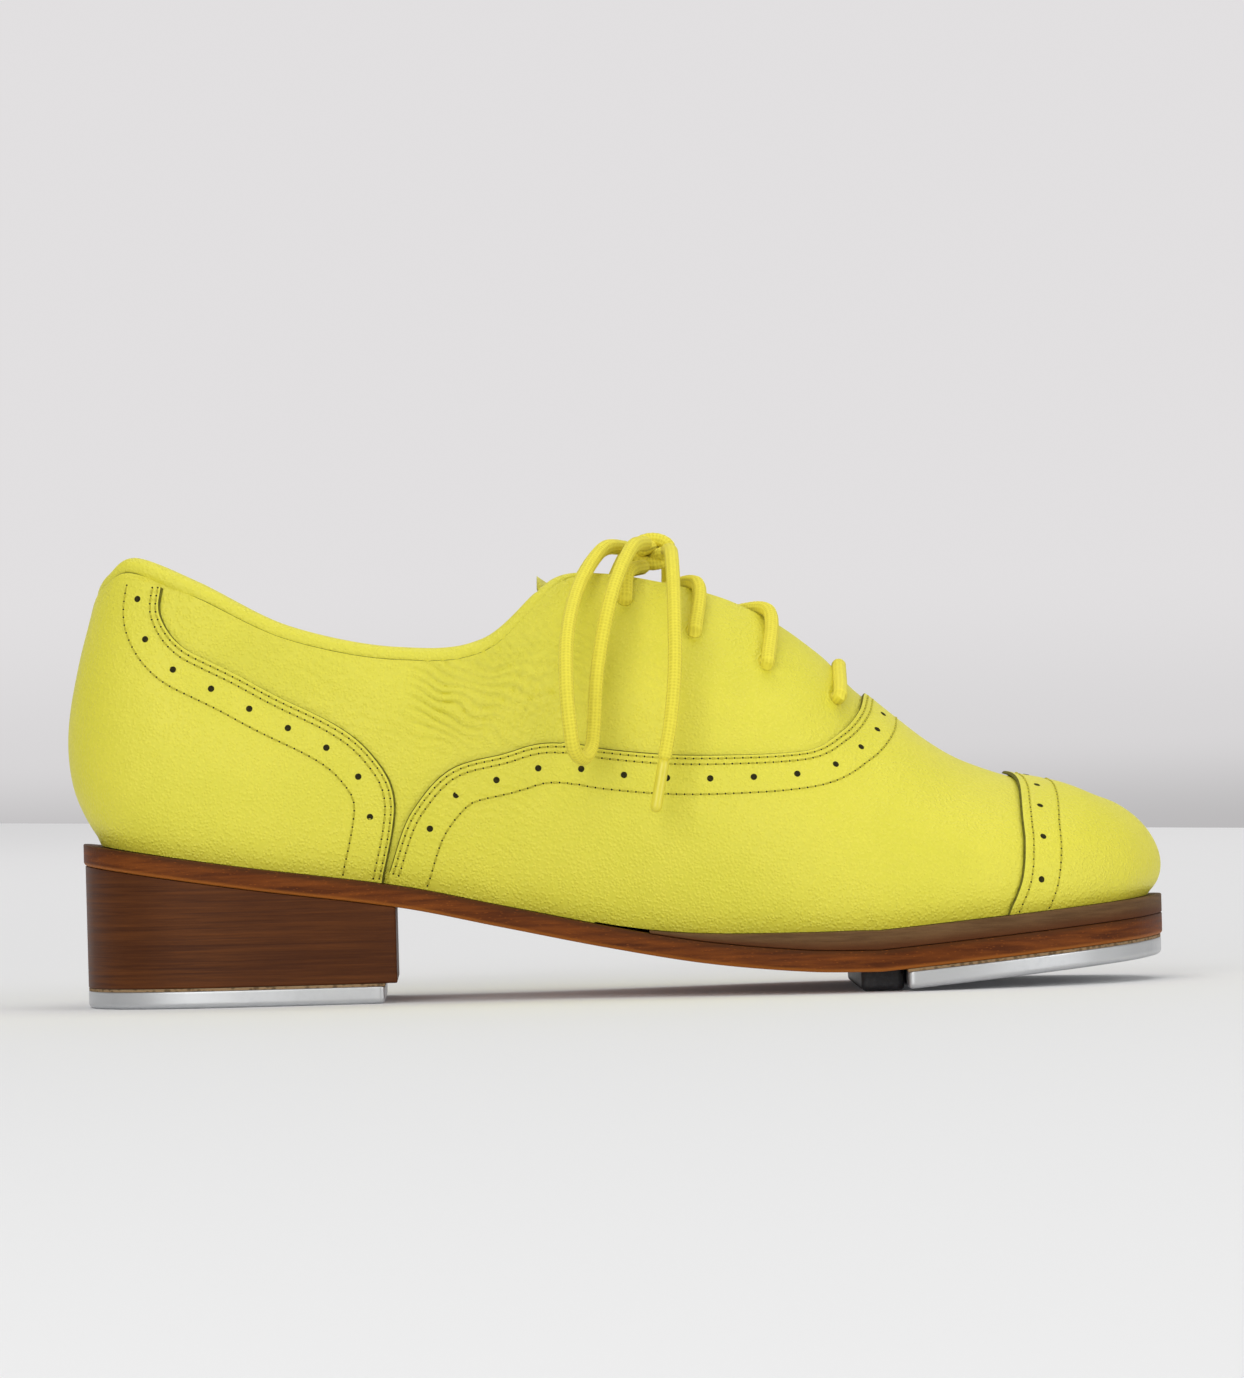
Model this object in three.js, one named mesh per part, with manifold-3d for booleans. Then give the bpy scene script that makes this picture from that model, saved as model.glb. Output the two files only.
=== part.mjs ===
import * as THREE from "three";
import { mergeVertices } from "three/addons/utils/BufferGeometryUtils.js";
import Module from "manifold-3d";

// Lace-up tap shoe for the right foot, in millimetres. +X points to the toe, +Y to the medial
// (inner) side and +Z up. Stations are measured from the back of the heel, and the finished shoe
// is moved so that the origin is the centre of the heel tap's ground face.

const wasm = await Module();
wasm.setup();

// ---------- driving dimensions ----------

const LENGTH = 285;
const PATTERN_LENGTH = 285; // the patterns below are drawn at this length and graded to LENGTH
const BALL_WIDTH = 100;
const PATTERN_WIDTH = 100;

const TAP_PLATE = 4.4;
const TAP_BOARD = 0.8;
const TAP_BEVEL = 1.3;
const TAP_SETBACK = 0.4; // the plates stop this far inside the edge of what they are screwed to
const HEEL_BLOCK = 31.5;
const HEEL_BREAST = 85.5;
const HEEL_TAP_BACKSET = 3.2; // from the breast to the straight edge of the heel tap
const TOE_TAP_START = 215;
const PAD_LENGTH = 11;
const PAD_GAP = 0.6;
const PAD_INSET = 9;
const TOE_SPRING = 0.083; // rise of the forefoot per millimetre in front of the ball
const BALL_STATION = 208;

const OUTSOLE = 5.5;
const WELT = 4.6;
const WELT_START = 136; // where the ply over the outsole starts to thicken
const WELT_PIECE_START = 150;
const WELT_FULL = 204;
const SOLE_EDGE_ROUND = 0.9;

const SEAT_GAP = 0.3; // left between curved pieces that touch on the real shoe
const BOARD_GAP = 0.05; // between the toe tap's board and the sole
const FEATHER_INSET = 3.5; // the upper meets the sole this far inside its edge
const SKIN = 1;
const LAYER_GAP = 0.45;
const LAYER = SKIN + LAYER_GAP;
const CAP_LAYER = 0;
const VAMP_LAYER = 1;
const QUARTER_LAYER = 2;
const STIFFENER_LAYER = 3;
const LINING_LAYER = 4;
const UPPER_DEPTH = LINING_LAYER * LAYER + SKIN;
const COUNTER_SINK = 0.25; // the counter lies this share of a layer deeper, clear of the curved quarters
const STAY_SINK = 0.3;
const UNDERLAP = 7; // how far a panel runs on below the one stitched over it
const COLLAR_RADIUS = 2.6;
const COLLAR_DEPTH = 3.7; // of its middle below the surface
const COLLAR_CLEAR = 0.05; // share of the height that the panels stop below the collar

const SHANK = { start: 62, end: 160, width: 13, thick: 1.2 };
const FILLER_START = 164;
const FILLER_END = 268;
const INSOLE_BOARD = 2.2;
const SOCK = 1.4;
const INSOLE_INSET = FEATHER_INSET + UPPER_DEPTH + 1.4;

const SCREW_HEAD = 3.2;
const SCREW_SINK = 0.7; // head below the plate's face
const SCREW_SHAFT = 1.5;
const SCREW_CLEAR = 0.3;
const HEEL_SCREW_LENGTH = 15;
const TOE_SCREW_LENGTH = 9.5;
const HEEL_SCREWS = [[16, 0], [64, 20], [64, -20]];
const TOE_SCREWS = [[270, 4], [232, 32], [232, -32]];

const LACE_RADIUS = 1.8;
const AGLET_RADIUS = 1.5;
const AGLET_LENGTH = 13;
const EYELET_BORE = 2.8;
const EYELET_RIM = 4.2;
const EYELET_THICK = 0.8;
const EYELET_SINK = 0.4; // clears the curve of the leather over the flat ring

// ---------- patterns ----------

// Half outline of the sole, heel to toe: station and half width from the bent centre line.
const OUTLINE = [
  [5, 0], [7.5, 14], [16, 25], [32, 31.5], [58, 33], [87, 31], [115, 30], [142, 34.5],
  [167, 42], [190, 48], [211, 50], [231, 48.5], [249, 44], [265, 36], [277.5, 23], [284, 0],
];
const RIBS = OUTLINE.length - 1;
const THROAT_RIB = 10;
const FACING_RIB = 7;

// One rib of the last at each outline point: station, half width and height above the sole of its
// top, then how far its lower curve stands out and up, and its upper curve out and down.
const RIB_SHAPES = [
  { top: [9, 0, 65.5], low: [12, 16], high: [10, 30] },
  { top: [11.5, 10, 69], low: [11, 16], high: [9, 28] },
  { top: [19, 18, 73.5], low: [9, 18], high: [6, 26] },
  { top: [35, 23.5, 69.5], low: [6, 20], high: [4.5, 24] },
  { top: [60, 26.5, 60.8], low: [5, 20], high: [4, 20] },
  { top: [87, 28, 59.2], low: [6, 20], high: [4, 18] },
  { top: [110, 26.5, 67.5], low: [8, 24], high: [7, 20] },
  { top: [131, 21, 90.5], low: [9, 28], high: [12, 17] },
  { top: [157, 14, 91.2], low: [9, 28], high: [18, 7] },
  { top: [184, 8, 81.3], low: [9, 26], high: [21, 4] },
  { top: [209, 0, 60.8], low: [9, 22], high: [25, 2] },
  { top: [228, 0, 44], low: [8, 20], high: [24, 1] },
  { top: [243, 0, 36], low: [7, 17], high: [22, 0.5] },
  { top: [255, 0, 32], low: [7, 14], high: [19, 0] },
  { top: [262, 0, 28], low: [8, 10], high: [15.5, 1] },
  { top: [265, 0, 26.5], low: [10, 8], high: [13.5, 1.5] },
];

// The centre line of a right shoe bends to the lateral side at the waist and back at the toe.
const CENTRE_LINE = [[0, 0], [60, 0], [115, -3], [190, -2], [240, 1], [285, 6]];

// Share of the heel's rise that the bottom of the sole keeps at each station.
const PITCH = [[0, 1.03], [45, 0.8], [87, 0.605], [112, 0.43], [138, 0.25], [164, 0.1], [190, 0.015], [208, 0]];

// Seams seen from the side: station and height above the ground.
const VAMP_EDGE = [
  [84, 33], [90, 48.5], [101.5, 60], [118, 64.3], [140, 63.7], [166, 61.7], [190, 62.3], [201, 67], [207, 73],
];
const FOXING_EDGE = [[82.5, 33], [86, 51], [81, 63], [70, 72.5], [50, 83.3], [33, 92.5], [27, 101], [27.5, 108]];
const THROAT_FOOT = 214; // where the vamp's wings meet its front, at the sole
const CAP_FOOT = 241.5;
const CAP_RIDGE = 243.5;
const CAP_EDGE = [[245, 27], [246.3, 37], [246.3, 46]];
const EYELETS = [[201, 76], [182.5, 85.5], [164, 94], [146.5, 102.5]];

// Tongue: station, height, half width and how far its sides droop.
const TONGUE = [
  [124, 111.5, 13, 4], [134, 102, 14, 5], [150, 92.5, 16, 6], [168, 86, 16, 5], [188, 72.5, 14, 4],
  [205, 61.5, 12, 3], [220, 58.4, 9, 3],
];
const TONGUE_THICK = 2.4;

// Free parts of the lace, chosen by hand: station, offset to the side and height.
const LOOP_PATH = [
  [147.6, 4, 115], [141, 16, 114.8], [134, 30, 102], [131, 37, 85], [131.5, 40.5, 69], [134, 42, 61],
  [137, 41.5, 68], [138.5, 39, 84], [142.5, 34, 102], [148, 21, 114.3], [152.6, 7.6, 116.2],
];
const END_PATH = [[157.7, 5.6, 114], [158.5, 20, 112.5], [158.5, 34, 99.5], [158, 42, 83], [156.5, 46, 70], [154.5, 48, 60]];
const KNOT = [154, 113.7];
const KNOT_SIZE = [7, 5.5, 3.6];

// ---------- colours ----------

const LEATHER = { color: "#e4dc4e", roughness: 0.5, metalness: 0 };
const LACE = { color: "#ead94a", roughness: 0.75, metalness: 0 };
const LINING = { color: "#d9c9a4", roughness: 0.7, metalness: 0 };
const SOLE = { color: "#7a4b2a", roughness: 0.55, metalness: 0 };
const WOOD = { color: "#6b3a24", roughness: 0.5, metalness: 0 };
const ALUMINIUM = { color: "#c9ccd0", roughness: 0.25, metalness: 1 };
const STEEL = { color: "#9b9ea3", roughness: 0.3, metalness: 1 };
const RUBBER = { color: "#1c1c1e", roughness: 0.7, metalness: 0 };
const BOARD = { color: "#6f5a45", roughness: 0.85, metalness: 0 };

// ---------- curves ----------

const grade = (x) => (x * LENGTH) / PATTERN_LENGTH;
const widen = (y) => (y * BALL_WIDTH) / PATTERN_WIDTH;
const clamp = (x, low, high) => Math.min(high, Math.max(low, x));
const mix = (a, b, t) => a + (b - a) * t;

function hermite(before, from, to, after, t) {
  const a = 2 * from;
  const b = to - before;
  const c = 2 * before - 5 * from + 4 * to - after;
  const d = -before + 3 * from - 3 * to + after;
  return (a + b * t + c * t * t + d * t * t * t) / 2;
}

// Smooth curve through a list, with t counting its entries. The list goes on past both ends as
// its mirror image: ends = 1 keeps its sign there and ends = -1 turns it.
function along(values, t, ends = 1) {
  const last = values.length - 1;
  const at = (i) => (i < 0 ? ends * values[-i] : i > last ? ends * values[2 * last - i] : values[i]);
  const i = clamp(Math.floor(t), 0, last - 1);
  return hermite(at(i - 1), at(i), at(i + 1), at(i + 2), t - i);
}

// Height over station: smooth through the points, level beyond them.
function profile(points, x) {
  const last = points.length - 1;
  if (x <= points[0][0]) return points[0][1];
  if (x >= points[last][0]) return points[last][1];
  const i = points.findIndex((p) => p[0] > x) - 1;
  const slope = (k) => {
    const a = points[Math.max(k - 1, 0)];
    const b = points[Math.min(k + 1, last)];
    return (b[1] - a[1]) / (b[0] - a[0]);
  };
  const step = points[i + 1][0] - points[i][0];
  const t = (x - points[i][0]) / step;
  const rise = points[i + 1][1] - points[i][1];
  const from = slope(i) * step;
  const to = slope(i + 1) * step;
  return points[i][1] + t * from + t * t * (3 * rise - 2 * from - to) + t * t * t * (from + to - 2 * rise);
}

const graded = (points) => points.map(([x, y]) => [grade(x), y]);
const centreLine = graded(CENTRE_LINE);
const pitch = graded(PITCH);
const bend = (x) => widen(profile(centreLine, x));

const TAP_STACK = TAP_PLATE + TAP_BOARD;
const HEEL_RISE = TAP_STACK + HEEL_BLOCK;
const ballStation = grade(BALL_STATION);

// Bottom of the outsole, and the line where the upper meets the sole.
function soleBottom(x) {
  if (x > ballStation) return TAP_STACK + TOE_SPRING * (x - ballStation);
  return mix(TAP_STACK, HEEL_RISE, profile(pitch, x));
}

function weltThickness(x) {
  const t = clamp((x - grade(WELT_START)) / (grade(WELT_FULL) - grade(WELT_START)), 0, 1);
  return WELT * t * t * (3 - 2 * t);
}

const outsoleTop = (x) => soleBottom(x) + OUTSOLE;
const feather = (x) => outsoleTop(x) + weltThickness(x) + (weltThickness(x) > 0 ? SEAT_GAP : 0);

// Point of the half outline at u (0 heel, 1 toe), moved inwards, with its outward normal.
function outline(u, inset = 0) {
  const at = (t) => [
    grade(along(OUTLINE.map((p) => p[0]), t)),
    widen(along(OUTLINE.map((p) => p[1]), t, -1)),
  ];
  const t = clamp(u, 0, 1) * RIBS;
  const step = 0.01;
  const [ax, ay] = at(Math.max(t - step, 0));
  const [bx, by] = at(Math.min(t + step, RIBS));
  let nx = -(by - ay);
  let ny = bx - ax;
  if (t === 0) [nx, ny] = [-1, 0];
  if (t === RIBS) [nx, ny] = [1, 0];
  const size = Math.hypot(nx, ny);
  const [x, y] = at(t);
  nx /= size;
  ny /= size;
  return { x: x - nx * inset, y: Math.max(0, y - ny * inset), nx, ny };
}

// The u at which the outline reaches a station.
function outlineAt(station, inset = 0) {
  let low = 0;
  let high = 1;
  for (let i = 0; i < 40; i++) {
    const middle = (low + high) / 2;
    if (outline(middle, inset).x < station) low = middle;
    else high = middle;
  }
  return (low + high) / 2;
}

// ---------- the last: the surface that every panel of the upper lies on ----------

function ribAt(u) {
  const t = clamp(u, 0, 1) * RIBS;
  const pick = (part, i, ends) => along(RIB_SHAPES.map((r) => r[part][i]), t, ends);
  return {
    top: [grade(pick("top", 0)), widen(Math.max(0, pick("top", 1, -1))), pick("top", 2)],
    low: [pick("low", 0), pick("low", 1)],
    high: [pick("high", 0), pick("high", 1)],
  };
}

const closedOver = (u) => u >= THROAT_RIB / RIBS - 1e-9;

// side is -1 lateral and 1 medial, u runs heel to toe and v from the sole up to the top line.
// Past the heel, the toe or the closed ridge the surface goes on down the other side.
function lastPoint(side, u, v) {
  if (u < 0) return lastPoint(-side, -u, v);
  if (u > 1) return lastPoint(-side, 2 - u, v);
  if (v > 1 && closedOver(u)) return lastPoint(-side, u, 2 - v);
  const foot = outline(u, FEATHER_INSET);
  const rib = ribAt(u);
  const ground = feather(foot.x) + SEAT_GAP;
  const start = [foot.x, foot.y, ground];
  const end = [rib.top[0], closedOver(u) ? 0 : rib.top[1], ground + rib.top[2]];
  const low = [start[0] + foot.nx * rib.low[0], start[1] + foot.ny * rib.low[0], start[2] + rib.low[1]];
  const high = [end[0] + foot.nx * rib.high[0], end[1] + foot.ny * rib.high[0], end[2] - rib.high[1]];
  const w = 1 - v;
  const blend = (i) =>
    w * w * w * start[i] + 3 * w * w * v * low[i] + 3 * w * v * v * high[i] + v * v * v * end[i];
  const x = blend(0);
  return new THREE.Vector3(x, side * blend(1) + bend(x), blend(2));
}

function lastNormal(side, u, v) {
  const step = 0.004;
  const highest = v + step > 1 && !closedOver(u) ? v : v + step;
  const lengthways = lastPoint(side, u + step, v).sub(lastPoint(side, u - step, v));
  const upwards = lastPoint(side, u, highest).sub(lastPoint(side, u, Math.max(0, v - step)));
  return lengthways.cross(upwards).multiplyScalar(-side).normalize();
}

const beneath = (side, [u, v], depth) =>
  lastPoint(side, u, v).addScaledVector(lastNormal(side, u, v), -depth);

// The (u, v) whose point is at a station and height, seen from the side.
function onLast([station, height], side = -1) {
  const x = grade(station);
  let u = outlineAt(x);
  let v = 0.5;
  for (let i = 0; i < 40; i++) {
    const step = 1e-4;
    const p = lastPoint(side, u, v);
    const du = lastPoint(side, u + step, v).sub(p).divideScalar(step);
    const dv = lastPoint(side, u, v - step).sub(p).divideScalar(-step);
    const scale = du.x * dv.z - dv.x * du.z;
    const ex = x - p.x;
    const ez = height - p.z;
    u = clamp(u + clamp((ex * dv.z - ez * dv.x) / scale, -0.05, 0.05), 0.001, 0.999);
    v = clamp(v + clamp((du.x * ez - du.z * ex) / scale, -0.1, 0.1), 0.001, 0.999);
  }
  return [u, v];
}

// A smooth line through (u, v) points, and straight or shifted ones, as functions of 0 to 1.
// beyond is where the line goes on after its last point, when it crosses the ridge squarely.
function through(points, beyond = points.at(-1)) {
  return (t) => {
    const at = t * (points.length - 1);
    const i = clamp(Math.floor(at), 0, points.length - 2);
    const before = points[Math.max(i - 1, 0)];
    const after = points[i + 2] ?? beyond;
    const smooth = (k) => hermite(before[k], points[i][k], points[i + 1][k], after[k], at - i);
    return [smooth(0), clamp(smooth(1), 0, 1)];
  };
}

const straight = (from, to) => (t) => [mix(from[0], to[0], t), mix(from[1], to[1], t)];
const lowered = (line, drop) => (t) => [line(t)[0], Math.max(0, line(t)[1] - drop)];

// ---------- solids ----------

// A closed solid from its points and triangles, turned so that its faces point outwards.
function geometryOf(points, triangles) {
  const volume = triangles.reduce((sum, [a, b, c]) => sum + points[a].dot(points[b].clone().cross(points[c])), 0);
  const outwards = volume < 0 ? triangles.map(([a, b, c]) => [a, c, b]) : triangles;
  const geometry = new THREE.BufferGeometry();
  geometry.setAttribute("position", new THREE.Float32BufferAttribute(points.flatMap((p) => p.toArray()), 3));
  geometry.setIndex(outwards.flat());
  return welded(geometry);
}

// Joins equal points and drops the triangles that this leaves without area.
function welded(geometry) {
  const bare = geometry.clone();
  for (const name of Object.keys(bare.attributes)) {
    if (name !== "position") bare.deleteAttribute(name);
  }
  const joined = mergeVertices(bare, 2e-3);
  const index = joined.getIndex().array;
  const kept = [];
  for (let i = 0; i < index.length; i += 3) {
    const [a, b, c] = [index[i], index[i + 1], index[i + 2]];
    if (a !== b && b !== c && a !== c) kept.push(a, b, c);
  }
  joined.setIndex(kept);
  return joined;
}

function solidOf(geometry) {
  const ready = welded(geometry);
  return new wasm.Manifold(
    new wasm.Mesh({
      numProp: 3,
      vertProperties: new Float32Array(ready.getAttribute("position").array),
      triVerts: new Uint32Array(ready.getIndex().array),
    }),
  );
}

function geometryFrom(solid) {
  const mesh = solid.getMesh();
  const geometry = new THREE.BufferGeometry();
  geometry.setAttribute("position", new THREE.Float32BufferAttribute(mesh.vertProperties, 3));
  geometry.setIndex([...mesh.triVerts]);
  return geometry;
}

// Cuts the tools out of a piece and keeps its largest part, without the slivers that a cut leaves.
function cut(geometry, tools) {
  const rest = tools.reduce((solid, tool) => solid.subtract(solidOf(tool)), solidOf(geometry));
  return geometryFrom(rest.decompose().sort((a, b) => b.volume() - a.volume())[0]);
}
const joined = (geometries) => geometryFrom(geometries.map(solidOf).reduce((a, b) => a.add(b)));

// A curved shell of the upper. Each patch is ruled between two (u, v) lines on one side of the
// shoe. Patches that share an edge become one sheet, and its free edges get walls.
function panel(patches, layer, thickness = SKIN) {
  const outer = [];
  const inner = [];
  const keys = new Map();
  const faces = [];
  const vertex = (side, at) => {
    const point = beneath(side, at, layer * LAYER);
    const key = point.toArray().map((c) => Math.round(c * 200)).join();
    if (!keys.has(key)) {
      keys.set(key, outer.length);
      outer.push(point);
      inner.push(beneath(side, at, layer * LAYER + thickness));
    }
    return keys.get(key);
  };
  for (const { side, from, to, steps, rows } of patches) {
    const grid = [];
    for (let i = 0; i <= steps; i++) {
      const a = from(i / steps);
      const b = to(i / steps);
      grid.push([]);
      for (let j = 0; j <= rows; j++) {
        const at = [mix(a[0], b[0], j / rows), mix(a[1], b[1], j / rows)];
        grid[i].push(vertex(side, at));
      }
    }
    for (let i = 0; i < steps; i++) {
      for (let j = 0; j < rows; j++) {
        const [p, q, r, s] = [grid[i][j], grid[i + 1][j], grid[i + 1][j + 1], grid[i][j + 1]];
        for (const [a, b, c] of [[p, q, r], [p, r, s]]) {
          if (a === b || b === c || a === c) continue;
          const facing = outer[b].clone().sub(outer[a]).cross(outer[c].clone().sub(outer[a]));
          const outwards = facing.dot(outer[a].clone().sub(inner[a])) > 0;
          faces.push(outwards ? [a, b, c] : [a, c, b]);
        }
      }
    }
  }
  return sheetSolid(outer, inner, faces);
}

function sheetSolid(outer, inner, faces) {
  const count = outer.length;
  const used = new Set();
  for (const [a, b, c] of faces) {
    for (const [p, q] of [[a, b], [b, c], [c, a]]) used.add(`${p},${q}`);
  }
  const triangles = [];
  for (const [a, b, c] of faces) {
    triangles.push([a, b, c], [a + count, c + count, b + count]);
    for (const [p, q] of [[a, b], [b, c], [c, a]]) {
      if (!used.has(`${q},${p}`)) triangles.push([p, p + count, q + count], [p, q + count, q]);
    }
  }
  return geometryOf([...outer, ...inner], triangles);
}

// A solid through rings of points. Its ends are closed flat, or run out in an upright edge.
function lofted(rings) {
  const size = rings[0].length;
  const points = rings.flat();
  const triangles = [];
  for (let i = 0; i + 1 < rings.length; i++) {
    for (let j = 0; j < size; j++) {
      const k = (j + 1) % size;
      const [a, b] = [i * size + j, i * size + k];
      triangles.push([a, b, b + size], [a, b + size, a + size]);
    }
  }
  for (const [first, flip] of [[0, true], [(rings.length - 1) * size, false]]) {
    const across = points.slice(first, first + size).map((p) => p.y);
    if (Math.max(...across) - Math.min(...across) < 1e-6) continue;
    for (let j = 1; j + 1 < size; j++) {
      const face = [first, first + j, first + j + 1];
      triangles.push(flip ? face.reverse() : face);
    }
  }
  return geometryOf(points, triangles);
}

// A flat-lying piece with the sole's outline between two stations and two heights.
function slab({ start = 0, end = 1, inset, low, high, round = SOLE_EDGE_ROUND, steps = 26 }) {
  const rings = [];
  for (let i = 0; i <= steps; i++) {
    const u = mix(start, end, i / steps);
    const { x, y } = outline(u, inset);
    const inner = Math.max(0, y - round);
    const centre = bend(x);
    const [bottom, top] = [low(x), high(x)];
    const edge = Math.min(round, (top - bottom) / 3);
    rings.push([
      new THREE.Vector3(x, centre + inner, bottom),
      new THREE.Vector3(x, centre + y, bottom + edge),
      new THREE.Vector3(x, centre + y, top),
      new THREE.Vector3(x, centre - y, top),
      new THREE.Vector3(x, centre - y, bottom + edge),
      new THREE.Vector3(x, centre - inner, bottom),
    ]);
  }
  return lofted(rings);
}

function cylinder(radius, low, high, sides = 16) {
  const geometry = new THREE.CylinderGeometry(radius, radius, high - low, sides);
  return geometry.rotateX(Math.PI / 2).translate(0, 0, (low + high) / 2);
}

// A cord along a list of points, as an extruded round section.
function cord(points, radius, steps) {
  const section = new THREE.Shape();
  const sides = 8;
  for (let i = 0; i < sides; i++) {
    const angle = (2 * Math.PI * i) / sides;
    const [x, y] = [radius * Math.cos(angle), radius * Math.sin(angle)];
    if (i === 0) section.moveTo(x, y);
    else section.lineTo(x, y);
  }
  const path = new THREE.CatmullRomCurve3(points, false, "centripetal");
  return new THREE.ExtrudeGeometry(section, { steps, bevelEnabled: false, extrudePath: path });
}

// ---------- assembly helpers ----------

const shoe = new THREE.Group();

function add(name, geometry, look) {
  const material = new THREE.MeshStandardMaterial(look);
  const mesh = new THREE.Mesh(geometry, material);
  mesh.name = name;
  shoe.add(mesh);
  return mesh;
}

// ---------- screws ----------

// A screw that points up from the plate's face, and the hole that takes it.
function screw(length, clear = 0) {
  const head = SCREW_HEAD + clear;
  const shaft = SCREW_SHAFT + clear;
  const foot = clear > 0 ? -1 : SCREW_SINK;
  const neck = SCREW_SINK + (SCREW_HEAD - SCREW_SHAFT) + 0.6;
  const tip = length + clear;
  const outlinePoints = [[0, foot], [head, foot], [head, SCREW_SINK + 0.6], [shaft, neck], [shaft, tip - 1], [0, tip]];
  const lathe = new THREE.LatheGeometry(outlinePoints.map(([r, z]) => new THREE.Vector2(r, z)), 10);
  return lathe.rotateX(Math.PI / 2);
}

const heelScrewPlaces = HEEL_SCREWS.map(([x, y]) => new THREE.Matrix4().makeTranslation(grade(x), widen(y), 0));
const toeTilt = Math.atan(TOE_SPRING);
const toePlateBottom = (x) => soleBottom(x) - TAP_STACK;
const toeScrewPlaces = TOE_SCREWS.map(([x, y]) => {
  const at = [grade(x), widen(y) + bend(grade(x)), toePlateBottom(grade(x))];
  return new THREE.Matrix4().makeTranslation(...at).multiply(new THREE.Matrix4().makeRotationY(-toeTilt));
});
const heelHoles = heelScrewPlaces.map((m) => screw(HEEL_SCREW_LENGTH, SCREW_CLEAR).applyMatrix4(m));
const toeHoles = toeScrewPlaces.map((m) => screw(TOE_SCREW_LENGTH, SCREW_CLEAR).applyMatrix4(m));

// ---------- sole and heel ----------

const breast = outlineAt(grade(HEEL_BREAST));
const tapBreast = outlineAt(grade(HEEL_BREAST - HEEL_TAP_BACKSET), TAP_SETBACK);
const tapStart = outlineAt(grade(TOE_TAP_START), TAP_SETBACK);

const outsole = slab({ inset: 0, low: soleBottom, high: outsoleTop, steps: 34 });
add("outsole", cut(outsole, toeHoles), SOLE);

add(
  "welt_midsole",
  slab({
    start: outlineAt(grade(WELT_PIECE_START)),
    inset: 0,
    low: (x) => outsoleTop(x) + SEAT_GAP,
    high: feather,
    round: 0.4,
    steps: 24,
  }),
  SOLE,
);

const heelBlock = slab({
  end: breast,
  inset: TAP_SETBACK,
  low: () => TAP_STACK,
  high: (x) => soleBottom(x) - SEAT_GAP,
  round: 0.01,
  steps: 14,
});
add("heel_block", cut(heelBlock, heelHoles), WOOD);

const heelBoard = slab({ end: tapBreast, inset: TAP_SETBACK, low: () => TAP_PLATE, high: () => TAP_STACK, round: 0.01, steps: 14 });
add("heel_tap_board", cut(heelBoard, heelHoles), BOARD);

const heelTap = slab({ end: tapBreast, inset: TAP_SETBACK, low: () => 0, high: () => TAP_PLATE, round: TAP_BEVEL, steps: 14 });
add("heel_tap", cut(heelTap, heelHoles), ALUMINIUM);

const toeBoard = slab({
  start: tapStart,
  inset: TAP_SETBACK,
  low: (x) => toePlateBottom(x) + TAP_PLATE,
  high: (x) => soleBottom(x) - BOARD_GAP,
  round: 0.01,
  steps: 14,
});
add("toe_tap_board", cut(toeBoard, toeHoles), BOARD);

const toeTap = slab({
  start: tapStart,
  inset: TAP_SETBACK,
  low: toePlateBottom,
  high: (x) => toePlateBottom(x) + TAP_PLATE,
  round: TAP_BEVEL,
  steps: 14,
});
add("toe_tap", cut(toeTap, toeHoles), ALUMINIUM);

heelScrewPlaces.forEach((m, i) => add(`heel_tap_screw_${i + 1}`, screw(HEEL_SCREW_LENGTH).applyMatrix4(m), STEEL));
toeScrewPlaces.forEach((m, i) => add(`toe_tap_screw_${i + 1}`, screw(TOE_SCREW_LENGTH).applyMatrix4(m), STEEL));

const padEnd = grade(TOE_TAP_START) - PAD_GAP;
add(
  "ball_pad",
  slab({
    start: outlineAt(padEnd - PAD_LENGTH, PAD_INSET),
    end: outlineAt(padEnd, PAD_INSET),
    inset: PAD_INSET,
    low: () => 0,
    high: (x) => soleBottom(x) - SEAT_GAP,
    round: 1.5,
    steps: 4,
  }),
  RUBBER,
);

// ---------- inside the shoe ----------

const floor = (x) => feather(x) + SEAT_GAP;
const packTop = (x) => floor(x) + SHANK.thick;
const boardTop = (x) => packTop(x) + SEAT_GAP + INSOLE_BOARD;

function shankRings() {
  const rings = [];
  const steps = 14;
  for (let i = 0; i <= steps; i++) {
    const x = mix(grade(SHANK.start), grade(SHANK.end), i / steps);
    const [y, half] = [bend(x), SHANK.width / 2];
    rings.push([
      new THREE.Vector3(x, y + half, floor(x)),
      new THREE.Vector3(x, y + half, packTop(x)),
      new THREE.Vector3(x, y - half, packTop(x)),
      new THREE.Vector3(x, y - half, floor(x)),
    ]);
  }
  return rings;
}

add("shank", lofted(shankRings()), STEEL);
add(
  "cork_filler",
  slab({
    start: outlineAt(grade(FILLER_START), INSOLE_INSET + 2),
    end: outlineAt(grade(FILLER_END), INSOLE_INSET + 2),
    inset: INSOLE_INSET + 2,
    low: floor,
    high: packTop,
    round: 0.01,
    steps: 14,
  }),
  BOARD,
);
add("insole_board", slab({ inset: INSOLE_INSET, low: (x) => packTop(x) + SEAT_GAP, high: boardTop, round: 0.01 }), BOARD);
add(
  "sock_liner",
  slab({ inset: INSOLE_INSET, low: (x) => boardTop(x) + SEAT_GAP, high: (x) => boardTop(x) + SEAT_GAP + SOCK, round: 0.01 }),
  LINING,
);

// ---------- upper ----------

const SIDES = [["outer", -1], ["inner", 1]];
const throat = THROAT_RIB / RIBS;
const facing = FACING_RIB / RIBS;
const footAt = (station) => outlineAt(grade(station), FEATHER_INSET);
const both = (patch) => SIDES.map(([, side]) => ({ ...patch, side }));

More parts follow.
